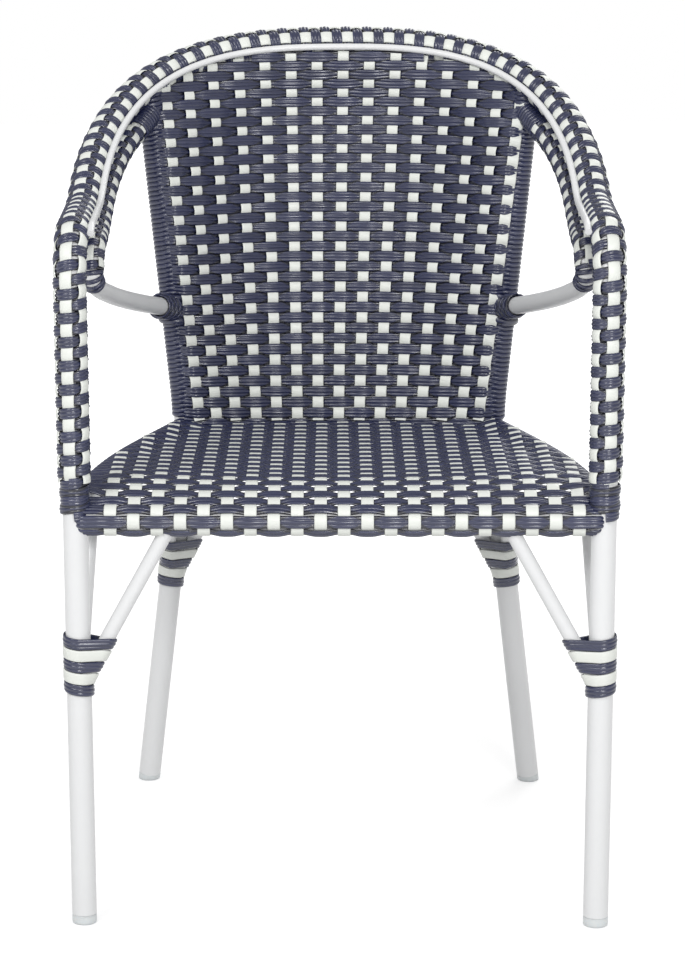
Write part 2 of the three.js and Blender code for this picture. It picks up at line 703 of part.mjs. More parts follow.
function addWeave() {
  add('hoop_sleeve', hoopSleeve(), NAVY_WEAVE);
  add('seat_panel', seatPanel(), NAVY_WEAVE);
  add('back_panel', backPanel(), NAVY_WEAVE);
  for (const side of BOTH_SIDES) {
    add(`arm_support_sleeve_${sideName(side)}`, supportSleeve(side), NAVY_WEAVE);
  }
}

function addBindings() {
  const gaps = [];
  for (const side of BOTH_SIDES) {
    const name = sideName(side);
    add(`corner_binding_${name}`, cornerBinding(side), NAVY_BINDING);
    add(`stile_binding_${name}`, stileBinding(side), NAVY_BINDING);
    const topBinding = supportSkin(side, 0, TOP_BINDING_LENGTH, SUPPORT_WEAVE);
    add(`support_top_binding_${name}`, largest(topBinding), NAVY_BINDING);
    const noseBinding = supportSkin(side, noseBindingStart, noseBindingEnd, NOSE_BINDING);
    add(`support_nose_binding_${name}`, noseBinding, NAVY_BINDING);
    add(`support_rear_binding_${name}`, lowerBinding(side), NAVY_BINDING);
    const frontLeg = [frontLegAt(0), frontLegAt(POST_TOP_Z)];
    const front = jointWinding(frontLeg, [frontBracePath, frontSideBracePath], JOINT_Z - STRAND_W, side);
    add(`front_joint_winding_${name}`, front.solid, NAVY_BINDING);
    const rearLeg = [rearFoot, stileKnee];
    const rear = jointWinding(rearLeg, [rearBracePath, rearSideBracePath], REAR_JOINT_Z - STRAND_W, side);
    add(`rear_joint_winding_${name}`, rear.solid, NAVY_BINDING);
    gaps.push(front.gap, rear.gap);
  }
  console.log(`least gap between loops: ${Math.min(...gaps).toFixed(2)} mm`);
}

addFrame();
addWeave();
addBindings();

// The origin goes to the middle of the chair's depth
const box = new THREE.Box3().setFromObject(chair);
chair.position.y = -(box.min.y + box.max.y) / 2;

export default chair;
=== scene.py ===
"""A bistro armchair: white tube, and a seat, back and arms woven of navy and white strand."""

import math

import bpy
from bpy.props import FloatProperty, FloatVectorProperty, IntProperty, PointerProperty
from mathutils import Matrix, Vector


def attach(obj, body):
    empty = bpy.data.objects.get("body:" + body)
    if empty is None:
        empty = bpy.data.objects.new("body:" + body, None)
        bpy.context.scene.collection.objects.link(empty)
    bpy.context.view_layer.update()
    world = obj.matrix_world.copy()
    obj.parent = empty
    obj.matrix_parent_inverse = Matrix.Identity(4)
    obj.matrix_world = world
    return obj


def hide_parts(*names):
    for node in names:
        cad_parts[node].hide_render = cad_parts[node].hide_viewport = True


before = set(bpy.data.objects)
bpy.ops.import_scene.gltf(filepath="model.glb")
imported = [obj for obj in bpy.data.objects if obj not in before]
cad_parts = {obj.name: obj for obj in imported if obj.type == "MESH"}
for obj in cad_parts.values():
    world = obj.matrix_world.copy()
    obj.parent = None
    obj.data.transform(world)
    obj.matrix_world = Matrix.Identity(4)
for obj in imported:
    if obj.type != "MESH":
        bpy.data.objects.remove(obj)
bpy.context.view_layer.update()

bl_info = {
    "name": "Woven bistro armchair",
    "version": (1, 0, 0),
    "blender": (4, 5, 0),
    "location": "3D View > Sidebar > Armchair",
    "description": "Builds a tube armchair with a woven seat, back and arms",
    "category": "Add Mesh",
}

MM = 0.001
SIDES = {"left": -1, "right": 1}


def length(name, millimetres, text):
    return FloatProperty(
        name=name,
        description=text,
        default=millimetres * MM,
        subtype="DISTANCE",
        unit="LENGTH",
        precision=4,
    )


def share(name, value, text):
    return FloatProperty(name=name, description=text, default=value)


def colour(name, red, green, blue, text):
    return FloatVectorProperty(
        name=name,
        description=text,
        default=(red, green, blue),
        min=0.0,
        max=1.0,
        size=3,
        subtype="COLOR",
    )


class FrameSizes(bpy.types.PropertyGroup):
    """Sizes of the tube frame, measured from the middle and from the plane of the front feet"""

    front_y: length("Front plane", -241.1895, "Where the front feet stand on the chair's own Y")
    tube_r: length("Tube", 12.5, "Radius of the legs, the hoop and the front rail")
    side_rail_r: length("Side rail", 11, "Radius of the rails under the seat's sides")
    rear_rail_r: length("Rear rail", 10, "Radius of the rail under the seat's rear edge")
    brace_r: length("Brace", 7.5, "Radius of the braces between the legs and the seat")
    support_r: length("Arm support", 9.5, "Radius of the tubes under the arms")
    bead_r: length("Bead rod", 3.6, "Radius of the rod along the hoop's inner side")
    cap_height: length("Foot cap", 9.5, "Height of the caps on the feet")
    foot_x: length("Front foot", 257.5, "From the middle to a front foot")
    arm_x: length("Arm", 262.5, "From the middle to an arm")
    post_lean: length("Post lean", 4, "How far a front post leans back up to the arm's bend")
    arm_z: length("Arm height", 699, "Height of the arm's tube behind its bend")
    arm_bend: length("Arm bend", 50, "Radius of the bend from post to arm")
    arm_slope: share("Arm slope", 0.07, "Rise of the arm along its length")
    arch_slope: share("Arch slope", 0.57, "Rise of the arch towards the rear")
    kink_y: length("Kink", 165, "Where the arm turns up into the arch")
    kink_blend: length("Kink blend", 22, "Half the length over which the arm turns up")
    arch_start_y: length("Arch start", 140, "Where the arch begins to turn inwards")
    arch_top_y: length("Arch top", 432, "Where the arch reaches farthest to the rear")
    arch_power: share("Arch squareness", 2.7, "2 is an ellipse, and more is squarer")
    rear_foot_x: length("Rear foot", 221, "From the middle to a rear foot")
    rear_foot_y: length("Rear foot depth", 484, "How far behind the front feet the rear feet stand")
    stile_x: length("Knee", 167, "From the middle to the back leg's knee")
    stile_y: length("Knee depth", 373, "How far behind the front feet the knee is")
    knee_z: length("Knee height", 440, "Height of the back leg's knee")
    stile_top_x: length("Stile top", 205, "Where a stile meets the arch")
    stile_blend: length("Knee blend", 45, "How far the knee's bend reaches along the leg")
    front_rail_z: length("Front rail", 416, "Height of the seat's front rail")
    rear_rail_z: length("Rear rail height", 431, "Height of the seat's rear rail")
    side_front_z: length("Side rail front", 430, "Height of a side rail at the front post")
    side_z: length("Side rail height", 436, "Height of a side rail at the back leg")
    side_bow: length("Side rail bow", 8, "How far a side rail bows out")
    side_bow_share: share("Side rail bow place", 0.42, "Where along the rail it bows most")
    joint_z: length("Front joint", 243, "Height where the front braces meet the leg")
    rear_joint_z: length("Rear joint", 252, "Height where the rear braces meet the leg")
    front_brace_x: length("Front brace", 164, "Where a front brace meets the front rail")
    side_brace_y: length("Side brace", 72, "Where a front leg's brace meets the side rail")
    rear_brace_x: length("Rear brace", 96, "Where a rear brace meets the rear rail")
    rear_side_brace_y: length("Rear side brace", 315, "Where a back leg's brace meets the rail")
    support_inward: length("Support inwards", 15, "How far inside the arm its support runs")
    support_down: length("Support down", 26.5, "How far under the arm its support runs")
    support_drop: length("Support start", 30, "How far under the arch a support leaves the stile")
    nose_y: length("Support nose", 90, "Where an arm support turns back")
    nose_run: length("Nose run", 30, "Length of the bend before the nose")
    nose_drop: length("Nose drop", 31, "Height of the bend before the nose")
    support_end_z: length("Support end", 572.5, "Height where a support comes back to the stile")


class WeaveSizes(bpy.types.PropertyGroup):
    """Sizes of the woven and wound strands"""

    stake_w: length("Stake width", 12.4, "Width of the white strand")
    stake_t: length("Stake thickness", 1.2, "Thickness of the white strand")
    wave: length("Wave", 1.25, "How far the hoop's strands rise and dip as they cross")
    hoop_r: length("Hoop weave", 15.2, "Radius of the middle of the weave on the hoop")
    post_strand_w: length("Post strand", 11.3, "Width of the navy strand on the posts")
    arch_strand_w: length("Arch strand", 13.0, "Width of the navy strand on the arch")
    hoop_strand_t: length("Hoop strand", 2.4, "Thickness of the navy strand on the hoop")
    hoop_stakes: IntProperty(
        name="Hoop stakes", description="White strands along the hoop, an odd count", default=5
    )
    post_pitch: length("Post pitch", 11.75, "One turn of the winding on the posts")
    arch_pitch: length("Arch pitch", 11.55, "One turn of the winding on the arch")
    post_turn: share("Post stake turn", -13.0, "Degrees from the post's front to its first stake")
    arch_turn: share("Arch stake turn", -38.4, "Degrees from the arch's upper side to its stake")
    support_weave_r: length("Support weave", 11.6, "Middle radius of the arm supports' weave")
    stile_pitch: length("Stile pitch", 5.05, "One turn of the winding on the stiles")
    seat_top_z: length("Seat height", 450, "Height of the woven seat behind its front roll")
    seat_dish: length("Seat dish", 6, "How far the middle of the seat sinks")
    seat_sink: length("Seat rear", 6, "How far the seat sinks towards its rear roll")
    waterfall: length("Seat front", 85, "Length over which the seat rises from its front roll")
    seat_stakes: IntProperty(
        name="Seat stakes", description="White strands, front to rear", default=21
    )
    seat_pitch: length("Seat stake pitch", 23.05, "Between the seat's white strands")
    seat_offset: length("Seat stakes' middle", 5, "How far the middle white strand is off centre")
    back_hollow: length("Back hollow", 8, "How far the back is hollowed")


class Finishes(bpy.types.PropertyGroup):
    """Colours of the finishes"""

    tube: colour("Tube", 0.765, 0.77, 0.775, "Powder coat on the tubes")
    navy: colour("Navy strand", 0.014, 0.018, 0.056, "Dark strand")
    white: colour("White strand", 0.78, 0.80, 0.755, "Pale strand")
    cap: colour("Foot cap", 0.66, 0.69, 0.70, "Plastic of the foot caps")


def sizes():
    return bpy.context.scene.armchair_frame


def weave():
    return bpy.context.scene.armchair_weave


def finishes():
    return bpy.context.scene.armchair_finish


# Lines of the frame, in the CAD's own places with the front feet at y 0


def clamped(value):
    return min(1.0, max(0.0, value))


def smoothed(value):
    value = clamped(value)
    return value * value * (3 - 2 * value)


def mirrored(points):
    return [Vector((-p.x, p.y, p.z)) for p in points]


def sided(points, side):
    return mirrored(points) if side < 0 else [p.copy() for p in points]


def lengths_along(points):
    lengths = [0.0]
    for before, after in zip(points, points[1:]):
        lengths.append(lengths[-1] + (after - before).length)
    return lengths


def at_length(points, lengths, place):
    """The point at a length along a line, which goes on straight past its end."""
    i = next((i for i in range(1, len(points)) if lengths[i] >= place), len(points) - 1)
    span = lengths[i] - lengths[i - 1]
    return points[i - 1].lerp(points[i], (place - lengths[i - 1]) / span if span else 0.0)


def spaced(points, count):
    lengths = lengths_along(points)
    return [at_length(points, lengths, lengths[-1] * i / count) for i in range(count + 1)]


def stretch(points, start, end, step):
    """The part of a line between two lengths, in even steps."""
    lengths = lengths_along(points)
    count = max(2, round((end - start) / step))
    return [at_length(points, lengths, start + (end - start) * i / count) for i in range(count + 1)]


def through(points, steps):
    """A smooth line through the points."""
    ends = [points[0] * 2 - points[1], *points, points[-1] * 2 - points[-2]]
    line = []
    for i in range(len(points) - 1):
        p0, p1, p2, p3 = ends[i : i + 4]
        d0, d1, d2 = ((b - a).length ** 0.5 for a, b in ((p0, p1), (p1, p2), (p2, p3)))
        m1 = ((p1 - p0) / d0 - (p2 - p0) / (d0 + d1) + (p2 - p1) / d1) * d1
        m2 = ((p2 - p1) / d1 - (p3 - p1) / (d1 + d2) + (p3 - p2) / d2) * d1
        for k in range(steps):
            t = k / steps
            line.append(
                p1
                + m1 * t
                + (p2 * 3 - p1 * 3 - m1 * 2 - m2) * t**2
                + (p1 * 2 - p2 * 2 + m1 + m2) * t**3
            )
    return [*line, points[-1].copy()]


def bezier(points, steps):
    a, b, c, d = points
    line = []
    for i in range(steps + 1):
        t = i / steps
        u = 1 - t
        line.append(a * u**3 + b * (3 * u * u * t) + c * (3 * u * t * t) + d * t**3)
    return line


def tangents(points):
    last = len(points) - 1
    return [
        (points[min(i + 1, last)] - points[max(i - 1, 0)]).normalized() for i in range(last + 1)
    ]


def hoop_side(y):
    """Height and slope of the hoop's tube over a place along the chair."""
    f = sizes()
    past = y - f.kink_y
    part = clamped((past + f.kink_blend) / (2 * f.kink_blend))
    ramp = f.kink_blend * part**2 if part < 1 else past
    extra = f.arch_slope - f.arm_slope
    z = f.arm_z + f.arm_slope * (y - f.post_lean - f.arm_bend) + extra * ramp
    return z, f.arm_slope + extra * part


def front_leg_at(z):
    f = sizes()
    part = z / (f.arm_z - f.arm_bend)
    return Vector((f.foot_x + (f.arm_x - f.foot_x) * part, f.post_lean * part, z))


def arch_turned(part):
    f = sizes()
    turn = math.pi / 2 * part
    power = 2 / f.arch_power
    x = f.arm_x * math.cos(turn) ** power if part < 1 else 0.0
    y = f.arch_start_y + (f.arch_top_y - f.arch_start_y) * math.sin(turn) ** power
    return Vector((x, y, hoop_side(y)[0]))


def arch_at(x):
    f = sizes()
    across = (abs(x) / f.arm_x) ** f.arch_power
    y = f.arch_start_y + (f.arch_top_y - f.arch_start_y) * (1 - across) ** (1 / f.arch_power)
    return Vector((x, y, hoop_side(y)[0]))


def half_hoop(lowest, arch_steps=60, bend_steps=14):
    """Points of the hoop's right half from a height on the post, each with its upward side."""
    f = sizes()
    stations = [(front_leg_at(lowest), Vector((0, -1, 0)))]
    for i in range(bend_steps + 1):
        turn = math.pi / 2 * i / bend_steps
        y = f.post_lean + f.arm_bend * (1 - math.cos(turn))
        z = f.arm_z - f.arm_bend + f.arm_bend * math.sin(turn)
        stations.append(
            (Vector((f.arm_x, y, z)), Vector((0, -math.cos(turn), math.sin(turn))))
        )
    turned = [arch_turned(i / 160) for i in range(161)]
    for point in spaced(turned, arch_steps):
        stations.append((point, Vector((0, -hoop_side(point.y)[1], 1)).normalized()))
    stations[-1][0].x = 0.0
    return stations


def whole_hoop(lowest):
    half = half_hoop(lowest)
    points = [p for p, _ in half]
    ups = [u for _, u in half]
    return mirrored(points) + points[-2::-1], ups + ups[-2::-1]


def beside(stations, inward, lift):
    """A line beside the hoop's right half, moved towards the sitter and upwards from it."""
    moved = []
    for i, (point, up) in enumerate(stations):
        before = stations[max(i - 1, 0)][0]
        after = stations[min(i + 1, len(stations) - 1)][0]
        if point.x == 0:
            after = Vector((-before.x, before.y, before.z))
        inside = up.cross((after - before).normalized()).normalized()
        moved.append(point + inside * inward + up * lift)
    return moved


def knee():
    f = sizes()
    return Vector((f.stile_x, f.stile_y, f.knee_z))


def rear_leg_at(z):
    f = sizes()
    return Vector((f.rear_foot_x, f.rear_foot_y, 0)).lerp(knee(), z / f.knee_z)


def stile_at(z):
    f = sizes()
    top = arch_at(f.stile_top_x)
    return knee().lerp(top, (z - f.knee_z) / (top.z - f.knee_z))


def back_leg_line(lowest):
    f = sizes()
    below = (rear_leg_at(0) - knee()).normalized() * f.stile_blend + knee()
    top = arch_at(f.stile_top_x)
    above = (top - knee()).normalized() * f.stile_blend + knee()
    bend = []
    for i in range(13):
        t = i / 12
        bend.append(below * (1 - t) ** 2 + knee() * (2 * t * (1 - t)) + above * t**2)
    return [rear_leg_at(lowest), *bend, top]


def from_height(points, z):
    """The part of a rising line above a height."""
    first = next(i for i, p in enumerate(points) if p.z > z)
    low, high = points[first - 1], points[first]
    return [low.lerp(high, (z - low.z) / (high.z - low.z)), *points[first:]]


def side_rail_line():
    f = sizes()
    start = front_leg_at(f.side_front_z)
    end = from_height(back_leg_line(0), f.side_z)[0]
    middle = start.lerp(end, f.side_bow_share)
    middle.z = f.side_z
    middle.x += f.side_bow
    return through([start, middle, end], 12)


def side_rail_at(y, line):
    i = next((i for i in range(1, len(line)) if line[i].y >= y), len(line) - 1)
    before, after = line[i - 1], line[i]
    return before.lerp(after, (y - before.y) / (after.y - before.y))


def brace_lines():
    """The right-hand braces, each from its leg's joint up to a rail of the seat."""
    f = sizes()
    rail = side_rail_line()
    joint, rear_joint = front_leg_at(f.joint_z), rear_leg_at(f.rear_joint_z)
    front = front_leg_at(f.front_rail_z)
    front.x = f.front_brace_x
    rear = from_height(back_leg_line(0), f.rear_rail_z)[0]
    rear.x = f.rear_brace_x
    return {
        "front_brace": [joint, front],
        "front_side_brace": [joint, side_rail_at(f.side_brace_y, rail)],
        "rear_brace": [rear_joint, rear],
        "rear_side_brace": [rear_joint, side_rail_at(f.rear_side_brace_y, rail)],
    }


NOSE_FULLNESS = 0.7  # how round the nose is below, against its drop
LIMB_LEAD = 0.3  # the share of the limb over which it straightens towards the stile
LIMB_SLOPE = 0.19


def support_line():
    """The right arm support, and how long it is from the arch to its nose."""
    f = sizes()
    stations = [
        s
        for s in half_hoop(f.cap_height, 11, 6)
        if s[0].y >= f.arch_start_y and s[0].x > f.stile_top_x
    ]
    upper = beside(stations, f.support_inward, -f.support_down)[::-1]
    turn = upper[-1]
    start = Vector((turn.x, f.nose_y + f.nose_run, 0))
    start.z = turn.z - f.arm_slope * (turn.y - start.y)
    nose = Vector((turn.x, f.nose_y, start.z - f.nose_drop))
    ahead = Vector((turn.x, f.nose_y + f.nose_run / 2, start.z))
    above = Vector((nose.x, nose.y, nose.z + f.nose_drop / 2))
    forward = bezier((start, ahead, above, nose), 4)
    end = stile_at(f.support_end_z)
    lead = end.lerp(nose, LIMB_LEAD)
    lead.z = end.z + LIMB_SLOPE * (end.y - lead.y)
    under = Vector((nose.x, nose.y, nose.z - f.nose_drop * NOSE_FULLNESS))
    backward = bezier((nose, under, lead, end), 12)
    head = [stile_at(arch_at(f.stile_top_x).z - f.support_drop), *upper, *forward]
    return through([*head, *backward[2::2]], 6), lengths_along(head)[-1]


# Making meshes


def seated(point):
    """The chair's own place of a point given from the plane of the front feet."""
    return Vector((point.x, point.y + sizes().front_y, point.z))


def line_mesh(name, lines, **values):
    """Edges along each line, with values kept at its points."""
    points, edges = [], []
    for line in lines:
        start = len(points)
        points.extend(seated(p) for p in line)
        edges.extend((start + i, start + i + 1) for i in range(len(line) - 1))
    mesh = bpy.data.meshes.new(name)
    mesh.from_pydata(points, edges, [])
    for key, rows in values.items():
        flat = [value for row in rows for value in row]
        is_vector = isinstance(flat[0], Vector)
        attribute = mesh.attributes.new(key, "FLOAT_VECTOR" if is_vector else "FLOAT", "POINT")
        if is_vector:
            attribute.data.foreach_set("vector", [c for v in flat for c in v])
        else:
            attribute.data.foreach_set("value", flat)
    return mesh


# Outlines of the strands, as (across, outward) pairs of shares of their width and thickness
OUTLINES = {
    "Ribbed": (
        (-0.5, -0.35), (-0.45, 0.02), (-0.34, 0.3), (-0.22, 0.2), (-0.17, -0.06),
        (-0.12, 0.32), (0.0, 0.5), (0.12, 0.32), (0.17, -0.06), (0.22, 0.2),
        (0.34, 0.3), (0.45, 0.02), (0.5, -0.35), (0.36, -0.5), (-0.36, -0.5),
    ),
    "Flat": (
        (-0.5, 0.0), (-0.46, 0.36), (-0.36, 0.5), (0.36, 0.5),
        (0.46, 0.36), (0.5, 0.0), (0.42, -0.5), (-0.42, -0.5),
    ),
    "Bent": (
        (-0.5, -1.1), (-0.46, -0.55), (-0.28, 0.15), (0.0, 0.5), (0.28, 0.15),
        (0.46, -0.55), (0.5, -1.1), (0.3, -0.8), (0.0, -0.5), (-0.3, -0.8),
    ),
    "Crowned": (
        (-0.5, -0.3), (-0.4, 0.15), (-0.18, 0.46), (0.18, 0.46),
        (0.4, 0.15), (0.5, -0.3), (0.0, -0.5),
    ),
}


def section(name):
    """The object that holds a strand's outline, made the first time it is asked for."""
    title = f"{name} section"
    if title in bpy.data.objects:
        return bpy.data.objects[title]
    outline = OUTLINES[name]
    count = len(outline)
    mesh = bpy.data.meshes.new(title)
    edges = [(i, (i + 1) % count) for i in range(count)]
    mesh.from_pydata([(out, across, 0) for across, out in outline], edges, [])
    kept = mesh.attributes.new("across", "FLOAT", "POINT")
    kept.data.foreach_set("value", [across for across, _ in outline])
    return bpy.data.objects.new(title, mesh)


GEOMETRY, OBJECT, MATERIAL = "NodeSocketGeometry", "NodeSocketObject", "NodeSocketMaterial"
NUMBER, WHOLE, VECTOR = "NodeSocketFloat", "NodeSocketInt", "NodeSocketVector"
COLOUR = "NodeSocketColor"


class Net:
    """Short calls that add and join the nodes of one tree."""

    def __init__(self, tree):
        self.tree = tree

    @classmethod
    def group(cls, name, kind, inputs, outputs):
        net = cls(bpy.data.node_groups.new(name, kind))
        for way, rows in (("INPUT", inputs), ("OUTPUT", outputs)):
            for label, sort, *default in rows:
                socket = net.tree.interface.new_socket(name=label, in_out=way, socket_type=sort)
                if default:
                    socket.default_value = default[0]
        net.given = net.tree.nodes.new("NodeGroupInput").outputs
        net.result = net.tree.nodes.new("NodeGroupOutput").inputs
        return net

    def feed(self, socket, value):
        if isinstance(value, bpy.types.NodeSocket):
            self.tree.links.new(value, socket)
        else:
            socket.default_value = value

    def node(self, kind, sockets=None, **settings):
        node = self.tree.nodes.new(kind)
        for key, value in settings.items():
            setattr(node, key, value)
        for key, value in (sockets or {}).items():
            self.feed(node.inputs[key], value)
        return node

    def add(self, kind, sockets=None, out=0, **settings):
        return self.node(kind, sockets, **settings).outputs[out]

    def math(self, operation, *values):
        return self.add("ShaderNodeMath", dict(enumerate(values)), operation=operation)

    def plus(self, first, second):
        return self.math("ADD", first, second)

    def minus(self, first, second):
        return self.math("SUBTRACT", first, second)

    def times(self, first, second):
        return self.math("MULTIPLY", first, second)

    def vector(self, operation, *values):
        node = self.node("ShaderNodeVectorMath", operation=operation)
        for i, value in enumerate(values):
            self.feed(node.inputs["Scale"] if operation == "SCALE" and i else node.inputs[i], value)
        return node.outputs["Value" if operation == "DOT_PRODUCT" else "Vector"]

    def named(self, name, kind="FLOAT"):
        return self.add("GeometryNodeInputNamedAttribute", {"Name": name}, data_type=kind)

    def kept(self, geometry, name, value):
        return self.add(
            "GeometryNodeStoreNamedAttribute",
            {"Geometry": geometry, "Name": name, "Value": value},
            data_type="FLOAT",
            domain="POINT",
        )


def group_node(net, group, sockets):
    kind = "GeometryNodeGroup" if net.tree.bl_idname == "GeometryNodeTree" else "ShaderNodeGroup"
    return net.node(kind, sockets, node_tree=group)


def once(name, make):
    """The node group of that name, made the first time it is asked for."""
    return bpy.data.node_groups.get(name) or make(name)


def strand_net(name, inputs):
    return Net.group(name, "GeometryNodeTree", inputs, (("Strand", GEOMETRY),))


def meshed(net, curve, outline, result):
    """Ends a tree with an outline swept along its curves, closed at both ends."""
    mesh = net.add(
        "GeometryNodeCurveToMesh", {"Curve": curve, "Profile Curve": outline, "Fill Caps": True}
    )
    mesh = net.add("GeometryNodeRealizeInstances", {"Geometry": mesh})
    mesh = net.add("GeometryNodeSetMaterial", {"Geometry": mesh, "Material": net.given["Material"]})
    net.feed(net.result[result], mesh)
    return net.tree


def swept_strand(name):
    """Lays a strand's section along curves that know which way is outward."""
    inputs = (
        ("Curve", GEOMETRY),
        ("Section", OBJECT),
        ("Outward", VECTOR),
        ("Swell", NUMBER, 1.0),
        ("Width", NUMBER, 0.01),
        ("Thickness", NUMBER, 0.0015),
        ("Material", MATERIAL),
    )
    net = strand_net(name, inputs)
    given = net.given
    tangent = net.add("GeometryNodeInputTangent")
    leaning = net.vector("DOT_PRODUCT", given["Outward"], tangent)
    square = net.vector("SUBTRACT", given["Outward"], net.vector("SCALE", tangent, leaning))
    normal = net.vector("NORMALIZE", square)
    curve = net.add(
        "GeometryNodeSetCurveNormal", {"Curve": given["Curve"], "Normal": normal}, mode="FREE"
    )
    curve = net.add("GeometryNodeSetCurveRadius", {"Curve": curve, "Radius": given["Swell"]})
    curve = net.kept(curve, "along", net.add("GeometryNodeSplineParameter", out="Length"))
    index = net.add("GeometryNodeInputIndex")
    which = net.add("GeometryNodeFieldOnDomain", {0: index}, domain="CURVE", data_type="INT")
    curve = net.kept(curve, "strand", which)
    outline = net.add("GeometryNodeObjectInfo", {"Object": given["Section"]}, out="Geometry")
    outline = net.add("GeometryNodeMeshToCurve", {"Mesh": outline})
    scale = net.add("ShaderNodeCombineXYZ", {0: given["Thickness"], 1: given["Width"], 2: 1.0})
    outline = net.add("GeometryNodeTransform", {"Geometry": outline, "Scale": scale})
    return meshed(net, curve, outline, "Strand")


def rounded_wave(net, crossings):
    """From 1 over a crossing to -1 under the next one, flat at both."""
    wave = net.math("COSINE", net.times(crossings, math.pi))
    cube = net.math("POWER", net.math("ABSOLUTE", wave), 3.0)
    cube = net.times(cube, net.math("SIGN", wave))
    return net.minus(net.times(wave, 1.5), net.times(cube, 0.5))


STRAND_INPUTS = (
    ("Line", GEOMETRY),
    ("Section", OBJECT),
    ("Material", MATERIAL),
    ("Wave", NUMBER, 0.001),
    ("Width", NUMBER, 0.01),
    ("Thickness", NUMBER, 0.0015),
    ("Swell", NUMBER, 0.06),
    ("Unevenness", NUMBER, 0.0),
)
ROUND_INPUTS = (
    *STRAND_INPUTS,
    ("Points", WHOLE, 100),
    ("Radius", NUMBER, 0.01),
    ("Stakes", WHOLE, 7),
)


def uneven(net, position, across):
    """A slight wander of a strand to one side and the other."""
    noise = net.add(
        "ShaderNodeTexNoise",
        {"Vector": position, "Scale": 45.0, "Detail": 1.0},
        noise_dimensions="3D",
    )
    return net.vector("SCALE", across, net.times(net.minus(noise, 0.5), net.given["Unevenness"]))


def finish_strand(net, curve, outward, wave, girth, hold):
    """Ends a tree with strands that swell where they rise and note where they dip, which their
    material uses for painted shade on their edges.
    """
    curve = net.kept(curve, "dip", net.times(net.minus(hold, wave), 0.5))
    swell = net.plus(net.times(wave, net.given["Swell"]), 1.0)
    sockets = {"Curve": curve, "Outward": outward, "Swell": net.plus(swell, girth)}
    for label in ("Section", "Width", "Thickness", "Material"):
        sockets[label] = net.given[label]
    strand = group_node(net, once("Swept Strand", swept_strand), sockets)
    net.feed(net.result["Strand"], strand.outputs["Strand"])
    return net.tree


def woven_strands(name):
    """Strands along given lines that rise and dip where they cross the others."""
    net = strand_net(name, STRAND_INPUTS)
    curve = net.add("GeometryNodeMeshToCurve", {"Mesh": net.given["Line"]})
    outward = net.named("outward", "FLOAT_VECTOR")
    wave = net.times(rounded_wave(net, net.named("crossing")), net.named("hold"))
    lift = net.vector("SCALE", outward, net.times(wave, net.given["Wave"]))
    across = net.vector("CROSS_PRODUCT", outward, net.add("GeometryNodeInputTangent"))
    wander = uneven(net, net.add("GeometryNodeInputPosition"), across)
    offset = net.vector("ADD", lift, wander)
    curve = net.add("GeometryNodeSetPosition", {"Geometry": curve, "Offset": offset})
    return finish_strand(net, curve, outward, wave, net.named("girth"), net.named("hold"))


def sample(net, curve, name, part, kind="FLOAT"):
    """Reads a value kept on a curve, at a share of its length."""
    return net.node(
        "GeometryNodeSampleCurve",
        {"Curves": curve, "Value": net.named(name, kind), "Factor": part},
        data_type=kind,
        mode="FACTOR",
    )


def round_line(net, curve, part, angle, radius):
    """A place round a centre line, and the directions outwards and along there."""
    centre = sample(net, curve, "up", part, "FLOAT_VECTOR")
    tangent = centre.outputs["Tangent"]
    side = net.vector("NORMALIZE", net.vector("CROSS_PRODUCT", tangent, centre.outputs[0]))
    up = net.vector("CROSS_PRODUCT", side, tangent)
    outward = net.vector(
        "ADD",
        net.vector("SCALE", up, net.math("COSINE", angle)),
        net.vector("SCALE", side, net.math("SINE", angle)),
    )
    place = net.vector("ADD", centre.outputs["Position"], net.vector("SCALE", outward, radius))
    return place, outward, tangent


def captured(net, geometry, value, kind="FLOAT"):
    """Fixes a value at the points, so that moving them doesn't change it."""
    node = net.tree.nodes.new("GeometryNodeCaptureAttribute")
    node.capture_items.new(kind, "Value")
    node.domain = "POINT"
    net.feed(node.inputs[0], geometry)
    net.feed(node.inputs[1], value)
    return node.outputs[0], node.outputs[1]


def round_net(name):
    """A tree with its centre line, and a straight line with as many points as asked for."""
    net = strand_net(name, ROUND_INPUTS)
    centre = net.add("GeometryNodeMeshToCurve", {"Mesh": net.given["Line"]})
    line = net.add("GeometryNodeCurvePrimitiveLine", {"End": (1.0, 0.0, 0.0)})
    line = net.add(
        "GeometryNodeResampleCurve", {"Curve": line, "Count": net.given["Points"]}, mode="COUNT"
    )
    return net, centre, line


def waved_radius(net, wave):
    return net.plus(net.times(wave, net.given["Wave"]), net.given["Radius"])


def wound_strand(name):
    """One strand wound round a centre line, over and under an odd count of stakes."""
    net, centre, curve = round_net(name)
    part = net.add("GeometryNodeSplineParameter", out="Factor")
    turns = sample(net, centre, "turns", part).outputs[0]
    wave = rounded_wave(net, net.times(turns, net.given["Stakes"]))
    curve, wave = captured(net, curve, wave)
    curve, girth = captured(net, curve, sample(net, centre, "girth", part).outputs[0])
    angle = net.times(turns, math.tau)
    place, outward, tangent = round_line(net, centre, part, angle, waved_radius(net, wave))
    curve, outward = captured(net, curve, outward, "VECTOR")
    place = net.vector("ADD", place, uneven(net, place, tangent))
    curve = net.add("GeometryNodeSetPosition", {"Geometry": curve, "Position": place})
    hold = net.math("GREATER_THAN", net.given["Wave"], 0.0)
    return finish_strand(net, curve, outward, net.times(wave, hold), girth, hold)


